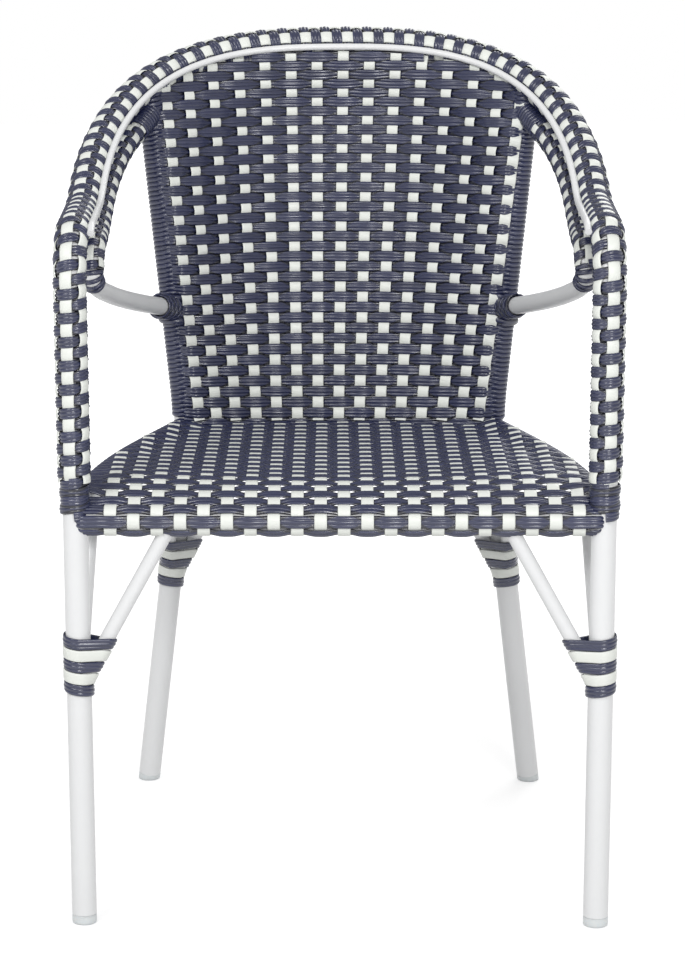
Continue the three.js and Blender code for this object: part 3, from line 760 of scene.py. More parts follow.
def lengthwise_strands(name):
    """Stakes along a centre line, under and over the turns of the strand wound round them."""
    net, centre, curve = round_net(name)
    given = net.given
    rows = net.add("GeometryNodeMeshLine", {"Count": given["Stakes"], "Offset": (0.0, 1.0, 0.0)})
    curve = net.add("GeometryNodeInstanceOnPoints", {"Points": rows, "Instance": curve})
    curve = net.add("GeometryNodeRealizeInstances", {"Geometry": curve})
    grid = net.node("ShaderNodeSeparateXYZ", {0: net.add("GeometryNodeInputPosition")})
    which = net.math("ROUND", grid.outputs["Y"])
    part = net.math("MINIMUM", net.math("MAXIMUM", grid.outputs["X"], 0.0), 1.0)
    turned = net.math("DIVIDE", which, given["Stakes"])
    turns = sample(net, centre, "turns", part).outputs[0]
    crossing = net.plus(net.minus(turns, turned), net.plus(which, 1.0))
    curve, wave = captured(net, curve, rounded_wave(net, crossing))
    angle = net.times(turned, math.tau)
    place, outward, _ = round_line(net, centre, part, angle, waved_radius(net, wave))
    curve, place = captured(net, curve, place, "VECTOR")
    curve, outward = captured(net, curve, outward, "VECTOR")
    curve = net.add("GeometryNodeSetPosition", {"Geometry": curve, "Position": place})
    return finish_strand(net, curve, outward, wave, 0.0, 1.0)


def round_bar(name):
    """A round tube along each given line, closed at both ends."""
    inputs = (
        ("Line", GEOMETRY),
        ("Radius", NUMBER, 0.0125),
        ("Facets", WHOLE, 32),
        ("Material", MATERIAL),
    )
    net = Net.group(name, "GeometryNodeTree", inputs, (("Bar", GEOMETRY),))
    curve = net.add("GeometryNodeMeshToCurve", {"Mesh": net.given["Line"]})
    sockets = {"Resolution": net.given["Facets"], "Radius": net.given["Radius"]}
    outline = net.add("GeometryNodeCurvePrimitiveCircle", sockets, mode="RADIUS")
    return meshed(net, curve, outline, "Bar")


def grown(name, mesh, tree, values):
    """The plain mesh that a tree of nodes makes from a line's mesh."""
    piece = bpy.data.objects.new(name, mesh)
    bpy.context.scene.collection.objects.link(piece)
    modifier = piece.modifiers.new("Shape", "NODES")
    modifier.node_group = tree
    for socket in tree.interface.items_tree:
        if socket.in_out == "INPUT" and socket.name in values:
            modifier[socket.identifier] = values[socket.name]
    ready = piece.evaluated_get(bpy.context.evaluated_depsgraph_get())
    made = bpy.data.meshes.new_from_object(ready)
    piece.modifiers.remove(modifier)
    piece.data = made
    made.name = name
    if not made.polygons:
        raise RuntimeError(f"{name} came out empty")
    return piece


def fitted(piece, node):
    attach(piece, "root")
    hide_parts(node)


def strands(name, tree, mesh, outline, look, values, node):
    settings = {
        "Section": section(outline),
        "Material": finish(look),
        "Swell": 0.06,
        "Unevenness": 0.0,
        **values,
    }
    fitted(grown(name, mesh, once(*tree), settings), node)


WOVEN = ("Woven Strands", woven_strands)
WOUND = ("Wound Strand", wound_strand)
LENGTHWISE = ("Lengthwise Strands", lengthwise_strands)
BAR = ("Round Bar", round_bar)


# Materials


def surface_net(name, **numbers):
    """A material's group: what each takes and gives, with the numbers of its own."""
    inputs = [("Colour", COLOUR, (0.5, 0.5, 0.5, 1)), ("Pale Colour", COLOUR, (0.6, 0.6, 0.6, 1))]
    inputs += [(label.replace("_", " "), NUMBER, value) for label, value in numbers.items()]
    outputs = (("Colour", COLOUR), ("Roughness", NUMBER), ("Normal", VECTOR))
    return Net.group(name, "ShaderNodeTree", inputs, outputs)


def mixed(net, factor, first, second):
    sockets = {"Factor": factor, "A": first, "B": second}
    return net.add("ShaderNodeMix", sockets, out="Result", data_type="RGBA")


def noise(net, place, scale, detail):
    return net.add("ShaderNodeTexNoise", {"Vector": place, "Scale": scale, "Detail": detail})


def finish_surface(net, tint, rough, spread, height, depth, distance):
    """Gives a group's colour, its roughness spread by a noise, and its bump."""
    net.feed(net.result["Colour"], tint)
    away = net.times(net.minus(rough, 0.5), spread)
    net.feed(net.result["Roughness"], net.plus(net.given["Roughness"], away))
    sockets = {"Height": height, "Strength": net.given[depth], "Distance": distance}
    net.feed(net.result["Normal"], net.add("ShaderNodeBump", sockets))
    return net.tree


def strand_grain(name):
    """Fine lines and slight colour changes along an extruded strand, with painted shade darkening
    its edges where it dips.
    """
    net = surface_net(name, Roughness=0.4, Line_Depth=0.2, Edge_Shade=0.5)
    given = net.given
    along, across, strand, dip = (
        net.add("ShaderNodeAttribute", out="Fac", attribute_name=kept)
        for kept in ("along", "across", "strand", "dip")
    )
    sockets = {0: net.times(along, 22.0), 1: net.times(across, 26.0), 2: net.times(strand, 7.3)}
    lines = noise(net, net.add("ShaderNodeCombineXYZ", sockets), 1.0, 3.0)
    sockets = {0: net.times(along, 9.0), 1: across, 2: net.times(strand, 3.7)}
    patches = noise(net, net.add("ShaderNodeCombineXYZ", sockets), 1.0, 1.0)
    worn = net.times(net.minus(patches, 0.35), 1.4)
    worn = net.plus(net.times(worn, 0.7), net.times(lines, 0.3))
    tint = mixed(net, worn, given["Colour"], given["Pale Colour"])
    # Painted shade: where the strand dips under a crossing, its edges are darkened towards
    # near-black, standing in for the shadow in the gaps between strands.
    edge = net.times(net.math("ABSOLUTE", across), 2.0)
    start = net.minus(1.05, net.times(dip, 0.95))
    shade = net.add(
        "ShaderNodeMapRange",
        {
            "Value": net.minus(edge, start),
            "From Min": 0.0,
            "From Max": 0.2,
            "To Min": 0.0,
            "To Max": given["Edge Shade"],
        },
    )
    # The near-black that the painted shade on the edges darkens towards.
    tint = mixed(net, shade, tint, (0.003, 0.003, 0.006, 1.0))
    return finish_surface(net, tint, lines, 0.25, lines, "Line Depth", 0.0004)


def fine_coat(name):
    """The soft pebble of a sprayed or moulded surface."""
    net = surface_net(name, Pebble_Scale=900.0, Pebble_Depth=0.1, Roughness=0.35)
    given = net.given
    place = net.add("ShaderNodeTexCoord", out="Object")
    pebble = noise(net, place, given["Pebble Scale"], 2.0)
    cloud = noise(net, place, 14.0, 3.0)
    tint = mixed(net, cloud, given["Colour"], given["Pale Colour"])
    return finish_surface(net, tint, cloud, 0.12, pebble, "Pebble Depth", 0.0003)


GRAIN = ("Strand Grain", strand_grain)
COAT = ("Fine Coat", fine_coat)

# Each finish: its material, its group, how much darker and paler its colour turns, what its
# group takes, and what its shader has all over
LOOKS = {
    "navy": (
        "Navy Strand", GRAIN, (0.9, 1.8),
        # The navy's edges are darkened where it dips: painted shade, not a colour the strand has.
        {"Roughness": 0.27, "Line Depth": 0.3, "Edge Shade": 0.85},
        {"IOR": 1.5, "Specular IOR Level": 0.9},
    ),
    "white": (
        "White Strand", GRAIN, (0.96, 1.02),
        {"Roughness": 0.42, "Line Depth": 0.3, "Edge Shade": 0.0},
        {"IOR": 1.47},
    ),
    "tube": (
        "White Powder Coat", COAT, (0.975, 1.01),
        {"Pebble Scale": 1100.0, "Pebble Depth": 0.12, "Roughness": 0.34},
        {"IOR": 1.5},
    ),
    "cap": (
        "Cap Plastic", COAT, (0.95, 1.05),
        {"Pebble Scale": 500.0, "Pebble Depth": 0.08, "Roughness": 0.3},
        {
            "IOR": 1.49,
            "Subsurface Weight": 0.25,
            "Subsurface Radius": (0.006, 0.007, 0.008),
            "Subsurface Scale": 1.0,
        },
    ),
}


def finish(look):
    """The material of a finish, made the first time it is asked for."""
    name, group, tones, values, constants = LOOKS[look]
    if name in bpy.data.materials:
        return bpy.data.materials[name]
    material = bpy.data.materials.new(name)
    material.use_nodes = True
    net = Net(material.node_tree)
    surface = net.tree.nodes["Principled BSDF"]
    for key, value in constants.items():
        surface.inputs[key].default_value = value
    tint = getattr(finishes(), look)
    dark, pale = ((*(min(1.0, c * tone) for c in tint), 1.0) for tone in tones)
    made = group_node(net, once(*group), {"Colour": dark, "Pale Colour": pale, **values})
    for socket, output in (("Base Color", "Colour"), ("Roughness",) * 2, ("Normal",) * 2):
        net.feed(surface.inputs[socket], made.outputs[output])
    return material


# The frame

BEAD_START = 9  # where on the arm's bend the bead begins, counted in its stations
BEAD_DISTANCE = 20.2 * MM
BEAD_LIFT = 6.6 * MM
CAP_FACETS = 40


def bar_piece(name, line, radius, node, facets=32):
    values = {"Radius": radius, "Facets": facets, "Material": finish("tube")}
    fitted(grown(name, line_mesh(name, [line]), once(*BAR), values), node)


class BuildTubes(bpy.types.Operator):
    """Bend the hoop, the legs, the rails, the braces and the arm supports"""

    bl_idname = "armchair.tubes"
    bl_label = "Tube frame"

    def execute(self, context):
        f = sizes()
        start = f.cap_height + 0.3 * MM
        bar_piece("hoop_frame", whole_hoop(start)[0], f.tube_r, "hoop_tube")
        front_end = front_leg_at(f.front_rail_z)
        bar_piece("front_rail", [*mirrored([front_end]), front_end], f.tube_r, "seat_front_rail")
        rear_end = from_height(back_leg_line(0), f.rear_rail_z)[0]
        bar_piece("rear_rail", [*mirrored([rear_end]), rear_end], f.rear_rail_r, "seat_rear_rail")
        bars = {
            "back_leg_tube": (back_leg_line(start), f.tube_r, "back_leg"),
            "side_rail": (side_rail_line(), f.side_rail_r, "seat_side_rail"),
        }
        for label, line in brace_lines().items():
            bars[f"{label}_tube"] = (line, f.brace_r, label, 24)
        bars["arm_support_tube"] = (support_line()[0], f.support_r, "arm_support")
        for name, side in SIDES.items():
            for label, (line, radius, node, *facets) in bars.items():
                bar_piece(f"{label}_{name}", sided(line, side), radius, f"{node}_{name}", *facets)
        half = half_hoop(start, bend_steps=12)[BEAD_START:]
        line = beside(half, math.sqrt(BEAD_DISTANCE**2 - BEAD_LIFT**2), BEAD_LIFT)
        bar_piece("bead_rod_smooth", mirrored(line) + line[-2::-1], f.bead_r, "bead_rod", 16)
        return {"FINISHED"}


class BuildCaps(bpy.types.Operator):
    """Mould the caps on the four feet"""

    bl_idname = "armchair.caps"
    bl_label = "Foot caps"

    def execute(self, context):
        f = sizes()
        high = f.cap_height / MM
        # height of each ring, and how far it stands out from the tube
        steps = (
            (0.0, -2.2), (0.0, -1.0), (0.6, -0.25), (1.6, 0.0), (high - 2.2, 0.0),
            (high - 1.6, -0.35), (high - 1.0, 0.0), (high - 0.4, -0.1), (high, -0.8), (high, -3.0),
        )
        angles = [math.tau * k / CAP_FACETS for k in range(CAP_FACETS)]
        for label, leg_at in (("front", front_leg_at), ("rear", rear_leg_at)):
            for name, side in SIDES.items():
                rings = []
                for z, out in steps:
                    centre = sided([leg_at(z * MM)], side)[0]
                    radius = f.tube_r + out * MM
                    rings.append([
                        seated(centre + Vector((math.cos(a), math.sin(a), 0)) * radius)
                        for a in angles
                    ])
                piece = ring_piece(f"{label}_cap_{name}", rings, finish("cap"))
                fitted(piece, f"{label}_foot_cap_{name}")
        return {"FINISHED"}


def ring_piece(name, rings, material):
    """A closed body from stacked rings, with its two ends filled."""
    count = len(rings[0])
    points = [p for ring in rings for p in ring]
    faces = []
    for r in range(len(rings) - 1):
        for k in range(count):
            a, b = r * count + k, r * count + (k + 1) % count
            faces.append((a, b, b + count, a + count))
    faces.append(tuple(range(count - 1, -1, -1)))
    top = (len(rings) - 1) * count
    faces.append(tuple(range(top, top + count)))
    mesh = bpy.data.meshes.new(name)
    mesh.from_pydata(points, [], faces)
    mesh.materials.append(material)
    mesh.shade_smooth()
    piece = bpy.data.objects.new(name, mesh)
    bpy.context.scene.collection.objects.link(piece)
    return piece


# The weave


def turns_along(points, pitch_at):
    """How many turns a winding has made at each point of its centre line."""
    turns = [0.0]
    for before, after in zip(points, points[1:]):
        middle = before.lerp(after, 0.5)
        turns.append(turns[-1] + (after - before).length / pitch_at(middle))
    return turns


def wound_piece(
    name, line, ups, turns, steps, values, node, outline, look="navy", tree=WOUND, girth=None
):
    """Strand wound round a line, or strands along it, with so many steps to a turn."""
    girth = girth or [0.0] * len(line)
    mesh = line_mesh(name, [line], up=[ups], turns=[turns], girth=[girth])
    count = max(8, round(abs(turns[-1] - turns[0]) * steps))
    strands(name, tree, mesh, outline, look, {"Points": count, **values}, node)


def woven_sleeve(names, line, ups, turns, shape, navy, white, node, girth=None):
    """Navy strand wound round a line, over and under its white stakes."""
    navy = {**shape, **navy}
    white = {**shape, **white, "Swell": 0.0}
    wound_piece(names[0], line, ups, turns, 30, navy, node, "Ribbed", girth=girth)
    wound_piece(names[1], line, ups, turns, 6, white, node, "Bent", "white", LENGTHWISE)


def binding(name, line, up, pitch, steps, radius, shape, node, outline="Crowned", start=0.0, way=1):
    """Navy strand wound round a line; the shape is one of the bindings' strands."""
    width, thickness, wave, wander, *stakes = shape
    values = {
        "Radius": radius,
        "Width": width * MM,
        "Thickness": thickness * MM,
        "Wave": wave * MM,
        "Unevenness": wander * MM,
    }
    if stakes:
        values["Stakes"] = stakes[0]
    turns = [start + way * turn for turn in turns_along(line, lambda point: pitch)]
    ups = crossways(line, up)
    wound_piece(name, line, ups, turns, steps, values, node, outline)


def crossways(points, up):
    """The given direction, squared to a line at each of its points."""
    squared = []
    for tangent in tangents(points):
        squared.append((up - tangent * up.dot(tangent)).normalized())
        up = squared[-1]
    return squared


def woven_piece(name, lines, outline, look, values, node, girths=None):
    """Strands along lines of (place, outward side, crossing, hold), each line with its girth."""
    kept = ([[item[k] for item in line] for line in lines] for k in range(4))
    places, outward, crossing, hold = kept
    extra = {"girth": [[g] * len(line) for g, line in zip(girths, lines)]} if girths else {}
    mesh = line_mesh(name, places, outward=outward, crossing=crossing, hold=hold, **extra)
    strands(name, WOVEN, mesh, outline, look, values, node)


def turned_sides(line, ups, angles):
    """The directions, each turned about the line towards its inner side."""
    turned = []
    for tangent, up, angle in zip(tangents(line), ups, angles):
        outer = up.cross(tangent).normalized()
        turned.append(up * math.cos(angle) - outer * math.sin(angle))
    return turned


def dense_hoop(lowest):
    """The hoop's line in short steps, with its upward sides."""
    points, ups = whole_hoop(lowest)
    lengths = lengths_along(points)
    count = round(lengths[-1] / (4 * MM))
    line, tops, i = [], [], 1
    for k in range(count + 1):
        place = lengths[-1] * k / count
        while lengths[i] < place - 1e-9 and i < len(points) - 1:
            i += 1
        part = (place - lengths[i - 1]) / (lengths[i] - lengths[i - 1])
        line.append(points[i - 1].lerp(points[i], part))
        tops.append(ups[i - 1].lerp(ups[i], part).normalized())
    return line, tops


SLEEVE_END = 454.5 * MM  # height where the hoop's sleeve ends on a post
ARCH_WIDENING = (40 * MM, 160 * MM)  # where the strand begins to widen, and over how much


class WeaveHoop(bpy.types.Operator):
    """Wind the navy strand round the hoop, over and under its white stakes"""

    bl_idname = "armchair.hoop_weave"
    bl_label = "Woven hoop"

    def execute(self, context):
        f, w = sizes(), weave()
        line, ups = dense_hoop(SLEEVE_END)

        def on_arch(point):
            return smoothed((point.y - ARCH_WIDENING[0]) / ARCH_WIDENING[1])

        def pitch_at(point):
            return w.post_pitch + (w.arch_pitch - w.post_pitch) * on_arch(point)

        def stake_turn(point):
            part = smoothed((point.y - f.arch_start_y) / (f.arch_top_y - f.arch_start_y))
            return math.radians(w.post_turn + (w.arch_turn - w.post_turn) * part)

        widening = w.arch_strand_w / w.post_strand_w - 1
        woven_sleeve(
            ("hoop_winding", "hoop_stakes"),
            line,
            turned_sides(line, ups, [stake_turn(point) for point in line]),
            turns_along(line, pitch_at),
            {"Radius": w.hoop_r, "Stakes": w.hoop_stakes, "Wave": w.wave, "Unevenness": 0.8 * MM},
            {"Width": w.post_strand_w, "Thickness": w.hoop_strand_t, "Swell": 0.04},
            {"Width": w.stake_w, "Thickness": w.stake_t},
            "hoop_sleeve",
            [widening * on_arch(point) for point in line],
        )
        return {"FINISHED"}


# Strands of the bindings: width, thickness, wave and wander in millimetres, and the count of
# stakes that the wave goes over and under
SUPPORT_STRAND = (5.2, 2.2, 0.0, 0.8)
KNOT_STRAND = (6, 2.2, 0.6, 2.0, 5)
STILE_STRAND = (5.5, 2.1, 0.0, 1.0)
TIE_STRAND = (6.4, 2.4, 0.5, 1.5, 5)
CORNER_STRAND = (9.6, 1.9, 0.6, 2.0, 3)

TOP_BINDING_END = 42 * MM
CORNER_HEIGHTS = range(421, 456, 3)
TIE_HEIGHTS = range(-15, 16, 2)  # from the support's end on the stile


class WeaveSupports(bpy.types.Operator):
    """Weave the arm supports' sleeves and wind their bindings"""

    bl_idname = "armchair.supports"
    bl_label = "Arm supports"

    def execute(self, context):
        f, w = sizes(), weave()
        line, nose_length = support_line()
        whole = lengths_along(line)[-1]
        nose_end = nose_length + 12 * MM
        nose_start = nose_end - 20 * MM
        # each binding's piece, node, start, end and height over the tube
        parts = (
            ("support_binding", "support_top_binding", 2 * MM, TOP_BINDING_END, 3.2 * MM),
            ("nose_binding", "support_nose_binding", nose_start, nose_end, 1.3 * MM),
            ("limb_binding", "support_rear_binding", whole - 56 * MM, whole - 6 * MM, 2.4 * MM),
        )
        upward = Vector((0, 0, 1))
        for name, side in SIDES.items():
            sleeve = sided(stretch(line, TOP_BINDING_END, nose_start, 4 * MM), side)
            woven_sleeve(
                (f"support_winding_{name}", f"support_stakes_{name}"),
                sleeve,
                crossways(sleeve, upward),
                turns_along(sleeve, lambda point: 10.6 * MM),
                {"Radius": w.support_weave_r, "Stakes": 5, "Wave": 1.0 * MM},
                {"Width": 10 * MM, "Thickness": 1.4 * MM},
                {"Width": 9.5 * MM, "Thickness": 1.1 * MM},
                f"arm_support_sleeve_{name}",
            )
            knot = sided(stretch(line, whole - 55 * MM, whole - 8 * MM, 3 * MM), side)
            radius, node = f.support_r + 3.4 * MM, f"support_rear_binding_{name}"
            shape = KNOT_STRAND
            binding(f"limb_knot_{name}", knot, upward, 7.5 * MM, 20, radius, shape, node, way=-1)
            for label, node, start, end, lift in parts:
                bound = sided(stretch(line, start, end, 3 * MM), side)
                radius, node = f.support_r + lift, f"{node}_{name}"
                shape = SUPPORT_STRAND
                binding(f"{label}_{name}", bound, upward, 4.6 * MM, 18, radius, shape, node)
        return {"FINISHED"}


class WindStiles(bpy.types.Operator):
    """Wind the fine navy strand round the stiles and tie the supports to them"""

    bl_idname = "armchair.stiles"
    bl_label = "Stile windings"

    def execute(self, context):
        f, w = sizes(), weave()
        leg = from_height(back_leg_line(0), 451 * MM)
        ahead = Vector((0, -1, 0))
        tied = [stile_at((f.support_end_z / MM + k) * MM) for k in TIE_HEIGHTS]
        for name, side in SIDES.items():
            line = sided(stretch(leg, 0, lengths_along(leg)[-1] - 8 * MM, 4 * MM), side)
            title, node = f"stile_winding_{name}", f"stile_binding_{name}"
            radius = f.tube_r + 1.2 * MM
            binding(title, line, ahead, w.stile_pitch, 20, radius, STILE_STRAND, node)
            line = sided(tied, side)
            for label, lift, start, way in (("tie", 4.6, 0.0, 1), ("tie_back", 5.6, 0.5, -1)):
                binding(
                    f"stile_{label}_{name}",
                    line,
                    ahead,
                    6.5 * MM,
                    24,
                    f.tube_r + lift * MM,
                    TIE_STRAND,
                    f"support_rear_binding_{name}",
                    start=start,
                    way=way,
                )
        return {"FINISHED"}


class WindCorners(bpy.types.Operator):
    """Wind the navy strand round the front posts where the arms meet the seat"""

    bl_idname = "armchair.corners"
    bl_label = "Corner bindings"

    def execute(self, context):
        radius = sizes().tube_r + 2.0 * MM
        ahead = Vector((0, -1, 0))
        for name, side in SIDES.items():
            line = sided([front_leg_at(z * MM) for z in CORNER_HEIGHTS], side)
            title, node = f"corner_winding_{name}", f"corner_binding_{name}"
            binding(title, line, ahead, 8.2 * MM, 30, radius, CORNER_STRAND, node, "Ribbed")
        return {"FINISHED"}


# The back's rows: height of the top one, the distance to the next, and its growth from row to
# row. The back's stakes: at a height, the middle one's place and the distance between two, both
# with their growth upwards, and how the outer ones crowd together. All in millimetres.
BACK_TOP, BACK_PITCH, BACK_GROWTH = 854.4, 9.881, 0.0253
STAKE_HEIGHT, STAKE_MIDDLE, STAKE_LEAN = 469, 0.8, 0.0138
STAKE_PITCH, STAKE_SPREAD = 23.09, 0.0153
CROWDED_FROM, CROWDING = 4.7, 1.1

BACK_ROWS = range(-1, 39)
BACK_STAKES = range(-7, 8)
BACK_FOOT = 444.3 * MM  # height where the back begins
BACK_BEFORE_STILE = 3.2 * MM
BACK_BEFORE_ARCH = 17.5 * MM
BACK_LIFT = 3.4 * MM  # how far the rows rise towards the stiles
ARCH_ROLL = (78 * MM, 66 * MM)  # how far under the arch the back turns to it, and over how much


def back_row_height(row):
    """Height of one of the back's rows, counted from the top."""
    return (BACK_TOP - BACK_PITCH * row - BACK_GROWTH * row * row) * MM


def back_row_at(z):
    """Which row lies at a height, as a number between two rows where it is between them."""
    rest = BACK_TOP - z / MM
    root = math.sqrt(BACK_PITCH**2 + 4 * BACK_GROWTH * rest)
    return (-BACK_PITCH + root) / (2 * BACK_GROWTH)


def back_stake_x(stake, z):
    """Where a white strand of the back lies at a height: closer together over the stiles."""
    above = z / MM - STAKE_HEIGHT
    crowded = CROWDING * max(0.0, abs(stake) - CROWDED_FROM) ** 2
    middle = STAKE_MIDDLE + STAKE_LEAN * above
    x = middle + stake * (STAKE_PITCH + STAKE_SPREAD * above) - math.copysign(crowded, stake)
    return x * MM


def back_stake_at(x, z):
    """Which white strand of the back lies at a place, as a number between two where it is."""
    stake = x / (23 * MM)
    for _ in range(12):
        stake += (x - back_stake_x(stake, z)) / (24 * MM)
    return stake


def back_place(x, z):
    """The woven back's own surface, brought forward over the front of the stiles."""
    f, w = sizes(), weave()
    foot = from_height(back_leg_line(0), BACK_FOOT)[0]
    part = clamped((z - BACK_FOOT) / (400 * MM))
    for _ in range(4):
        wide = foot.x + (f.stile_top_x - foot.x) * part
        across = max(-1.0, min(1.0, x / wide))
        top = arch_at(across * f.stile_top_x)
        part = clamped((z - BACK_FOOT) / (top.z - BACK_FOOT))
    y = foot.y + (top.y - foot.y) * part
    y += w.back_hollow * math.sin(math.pi * part) * (1 - across**2)
    stile = stile_at(z)
    over_stile = min(1.0, abs(x) / (stile.x - 12 * MM)) ** 3
    y += (stile.y - f.tube_r - BACK_BEFORE_STILE - y) * over_stile
    arch = arch_at(x)
    over_arch = smoothed((ARCH_ROLL[0] - (arch.z - z)) / ARCH_ROLL[1])
    y += (arch.y - BACK_BEFORE_ARCH - y) * over_arch
    return Vector((x, y, z + BACK_LIFT * over_stile * (1 - over_arch)))


def surface_outward(place, u, v, step=0.5 * MM):
    """The outward side of a surface given by a function of two numbers."""
    across = place(u + step, v) - place(u - step, v)
    upward = place(u, v + step) - place(u, v - step)
    return across.cross(upward).normalized()


def under_arch(line, gap):
    """The longest unbroken run of a line's places that lie lower than the arch by a gap."""
    best, run = [], []
    for item in line:
        run = [*run, item] if arch_at(item[0].x).z - item[0].z > gap else []
        best = max(best, run, key=len)
    return best


class WeaveBack(bpy.types.Operator):
    """Weave the back between the stiles, the rear rail and the arch"""

    bl_idname = "armchair.back"
    bl_label = "Woven back"

    def execute(self, context):
        rows, girths = [], []
        for row in BACK_ROWS:
            z = back_row_height(row)
            edge = stile_at(z).x + 1.5 * MM
            count = round(2 * edge / (4.1 * MM))
            line = []
            for i in range(count + 1):
                x = -edge + 2 * edge * i / count
                outward = surface_outward(back_place, x, z)
                near = smoothed((edge - abs(x)) / (14 * MM))
                point = back_place(x, z) - outward * (1 - near) * 3.0 * MM
                line.append((point, outward, back_stake_at(x, z) + row, near))
            line = under_arch(line, 10.5 * MM)
            if len(line) >= 4:
                rows.append(line)
                girths.append((z - back_row_height(row + 1)) / (10.9 * MM) - 1)
        shape = {
            "Width": 11.9 * MM,
            "Thickness": 2.8 * MM,
            "Wave": 1.8 * MM,
            "Swell": -0.035,
            "Unevenness": 0.5 * MM,
        }
        woven_piece("back_rows", rows, "Ribbed", "navy", shape, "back_panel", girths)
        stakes = []
        for stake in BACK_STAKES:
            line = []
            for i in range(178):
                z = (446 + i * 2.35) * MM
                x = back_stake_x(stake, z)
                outward = surface_outward(back_place, x, z)
                line.append((back_place(x, z), outward, back_row_at(z) + stake + 1, 1.0))
            stakes.append(under_arch(line, 8 * MM))
        thickness = weave().stake_t
        shape = {"Width": 12.2 * MM, "Thickness": thickness, "Wave": 1.7 * MM, "Swell": 0.0}
        woven_piece("back_stakes", stakes, "Flat", "white", shape, "back_panel")
        return {"FINISHED"}


SEAT_BACK_OF_ROLL = 8 * MM  # how far behind the front feet the front roll reaches
SQUARE_START = 254 * MM  # from the middle to where the front roll grows thinner


class SeatShape:
    """The surface of the woven seat: its front roll, its dished top and its rear roll."""

    def __init__(self):
        f = sizes()
        self.rail = side_rail_line()
        self.rear = from_height(back_leg_line(0), f.rear_rail_z)[0]
        self.front = front_leg_at(f.front_rail_z)
        self.roll, self.rear_roll, self.side_roll = (
            radius + 2.0 * MM for radius in (f.tube_r, f.rear_rail_r, f.side_rail_r)
        )
        profile = []
        for degrees in range(-75, 61, 5):
            turn = math.radians(degrees)
            y = self.front.y - self.roll * math.cos(turn)
            profile.append(Vector((0, y, self.front.z + self.roll * math.sin(turn))))
        for y in (*range(10, 91, 10), *range(110, 371, 20)):
            profile.append(Vector((0, y * MM, self.top(0, y * MM))))
        for degrees in range(0, 121, 10):
            turn = math.radians(degrees)
            y = self.rear.y + self.rear_roll * math.sin(turn)
            profile.append(Vector((0, y, self.rear.z + self.rear_roll * math.cos(turn))))
        self.profile = through(profile, 3)
        self.lengths = lengths_along(self.profile)

    def top(self, across, y):
        w = weave()
        start = self.front.z + sizes().tube_r + 2.7 * MM
        run = min(1.0, y / w.waterfall)
        rise = (w.seat_top_z - start) * (1 - (1 - run) ** 2)
        rear = max(0.0, (y - w.waterfall) / (self.rear.y - w.waterfall))
        dish = w.seat_dish * (run - rear) * (1 - across**2)
        return start + rise - dish - w.seat_sink * rear - 1.2 * MM

    def half(self, y):
        return side_rail_at(min(max(y, self.rail[0].y), self.rail[-1].y), self.rail)

    def place(self, x, run):
        """A place on the seat, a distance to one side and a length along from the front."""
        base = at_length(self.profile, self.lengths, run)
        side = self.half(base.y)
        point = Vector((x, base.y, base.z))
        behind = base.y - SEAT_BACK_OF_ROLL
        if behind > 0 and base.y < self.rear.y:
            across = clamped(abs(x) / side.x)
            point.z += self.top(across, base.y) - self.top(0, base.y)
            near = smoothed((abs(x) - side.x + 30 * MM) / (30 * MM))
            near *= smoothed(behind / (14 * MM))
            point.z += (side.z + self.side_roll - point.z) * near
            past = abs(x) - side.x
            if past > 0:
                turn = min(past / self.side_roll, 3.6)
                point.x = math.copysign(side.x + self.side_roll * math.sin(turn), x)
                point.z = side.z + self.side_roll * math.cos(turn)
        elif behind <= 0:
            past = abs(x) - SQUARE_START
            if past > 0:
                small = math.sqrt(max(0.12, 1 - (past / (8 * MM)) ** 2))
                point.y = self.front.y + (base.y - self.front.y) * small
                point.z = self.front.z + (base.z - self.front.z) * small
        return point


SEAT_FRONT_PITCH = 14.4
SEAT_PITCH = 11.3
SEAT_FRONT_ROWS = 8
SEAT_FIRST_ROW = 5.0
SEAT_FRONT_END = SEAT_FIRST_ROW + SEAT_FRONT_PITCH * SEAT_FRONT_ROWS
SEAT_STEP = 0.8 * MM  # over which the seat's outward side is measured
FRONT_ROW_REACH = 262 * MM  # from the middle to the end of a row on the front roll
REAR_ROW_REACH = 153 * MM
ROUND_SIDE_RAIL = 3.4  # how far the rows between them go round the side rails, in radians


def seat_row_run(row):
    """How far along the seat from its front a row lies."""
    if row <= SEAT_FRONT_ROWS:
        return (SEAT_FIRST_ROW + SEAT_FRONT_PITCH * row) * MM
    return (SEAT_FRONT_END + SEAT_PITCH * (row - SEAT_FRONT_ROWS)) * MM


def seat_row_at(run):
    """Which row lies there, as a number between two rows where it is between them."""
    if run / MM <= SEAT_FRONT_END:
        return (run / MM - SEAT_FIRST_ROW) / SEAT_FRONT_PITCH
    return SEAT_FRONT_ROWS + (run / MM - SEAT_FRONT_END) / SEAT_PITCH


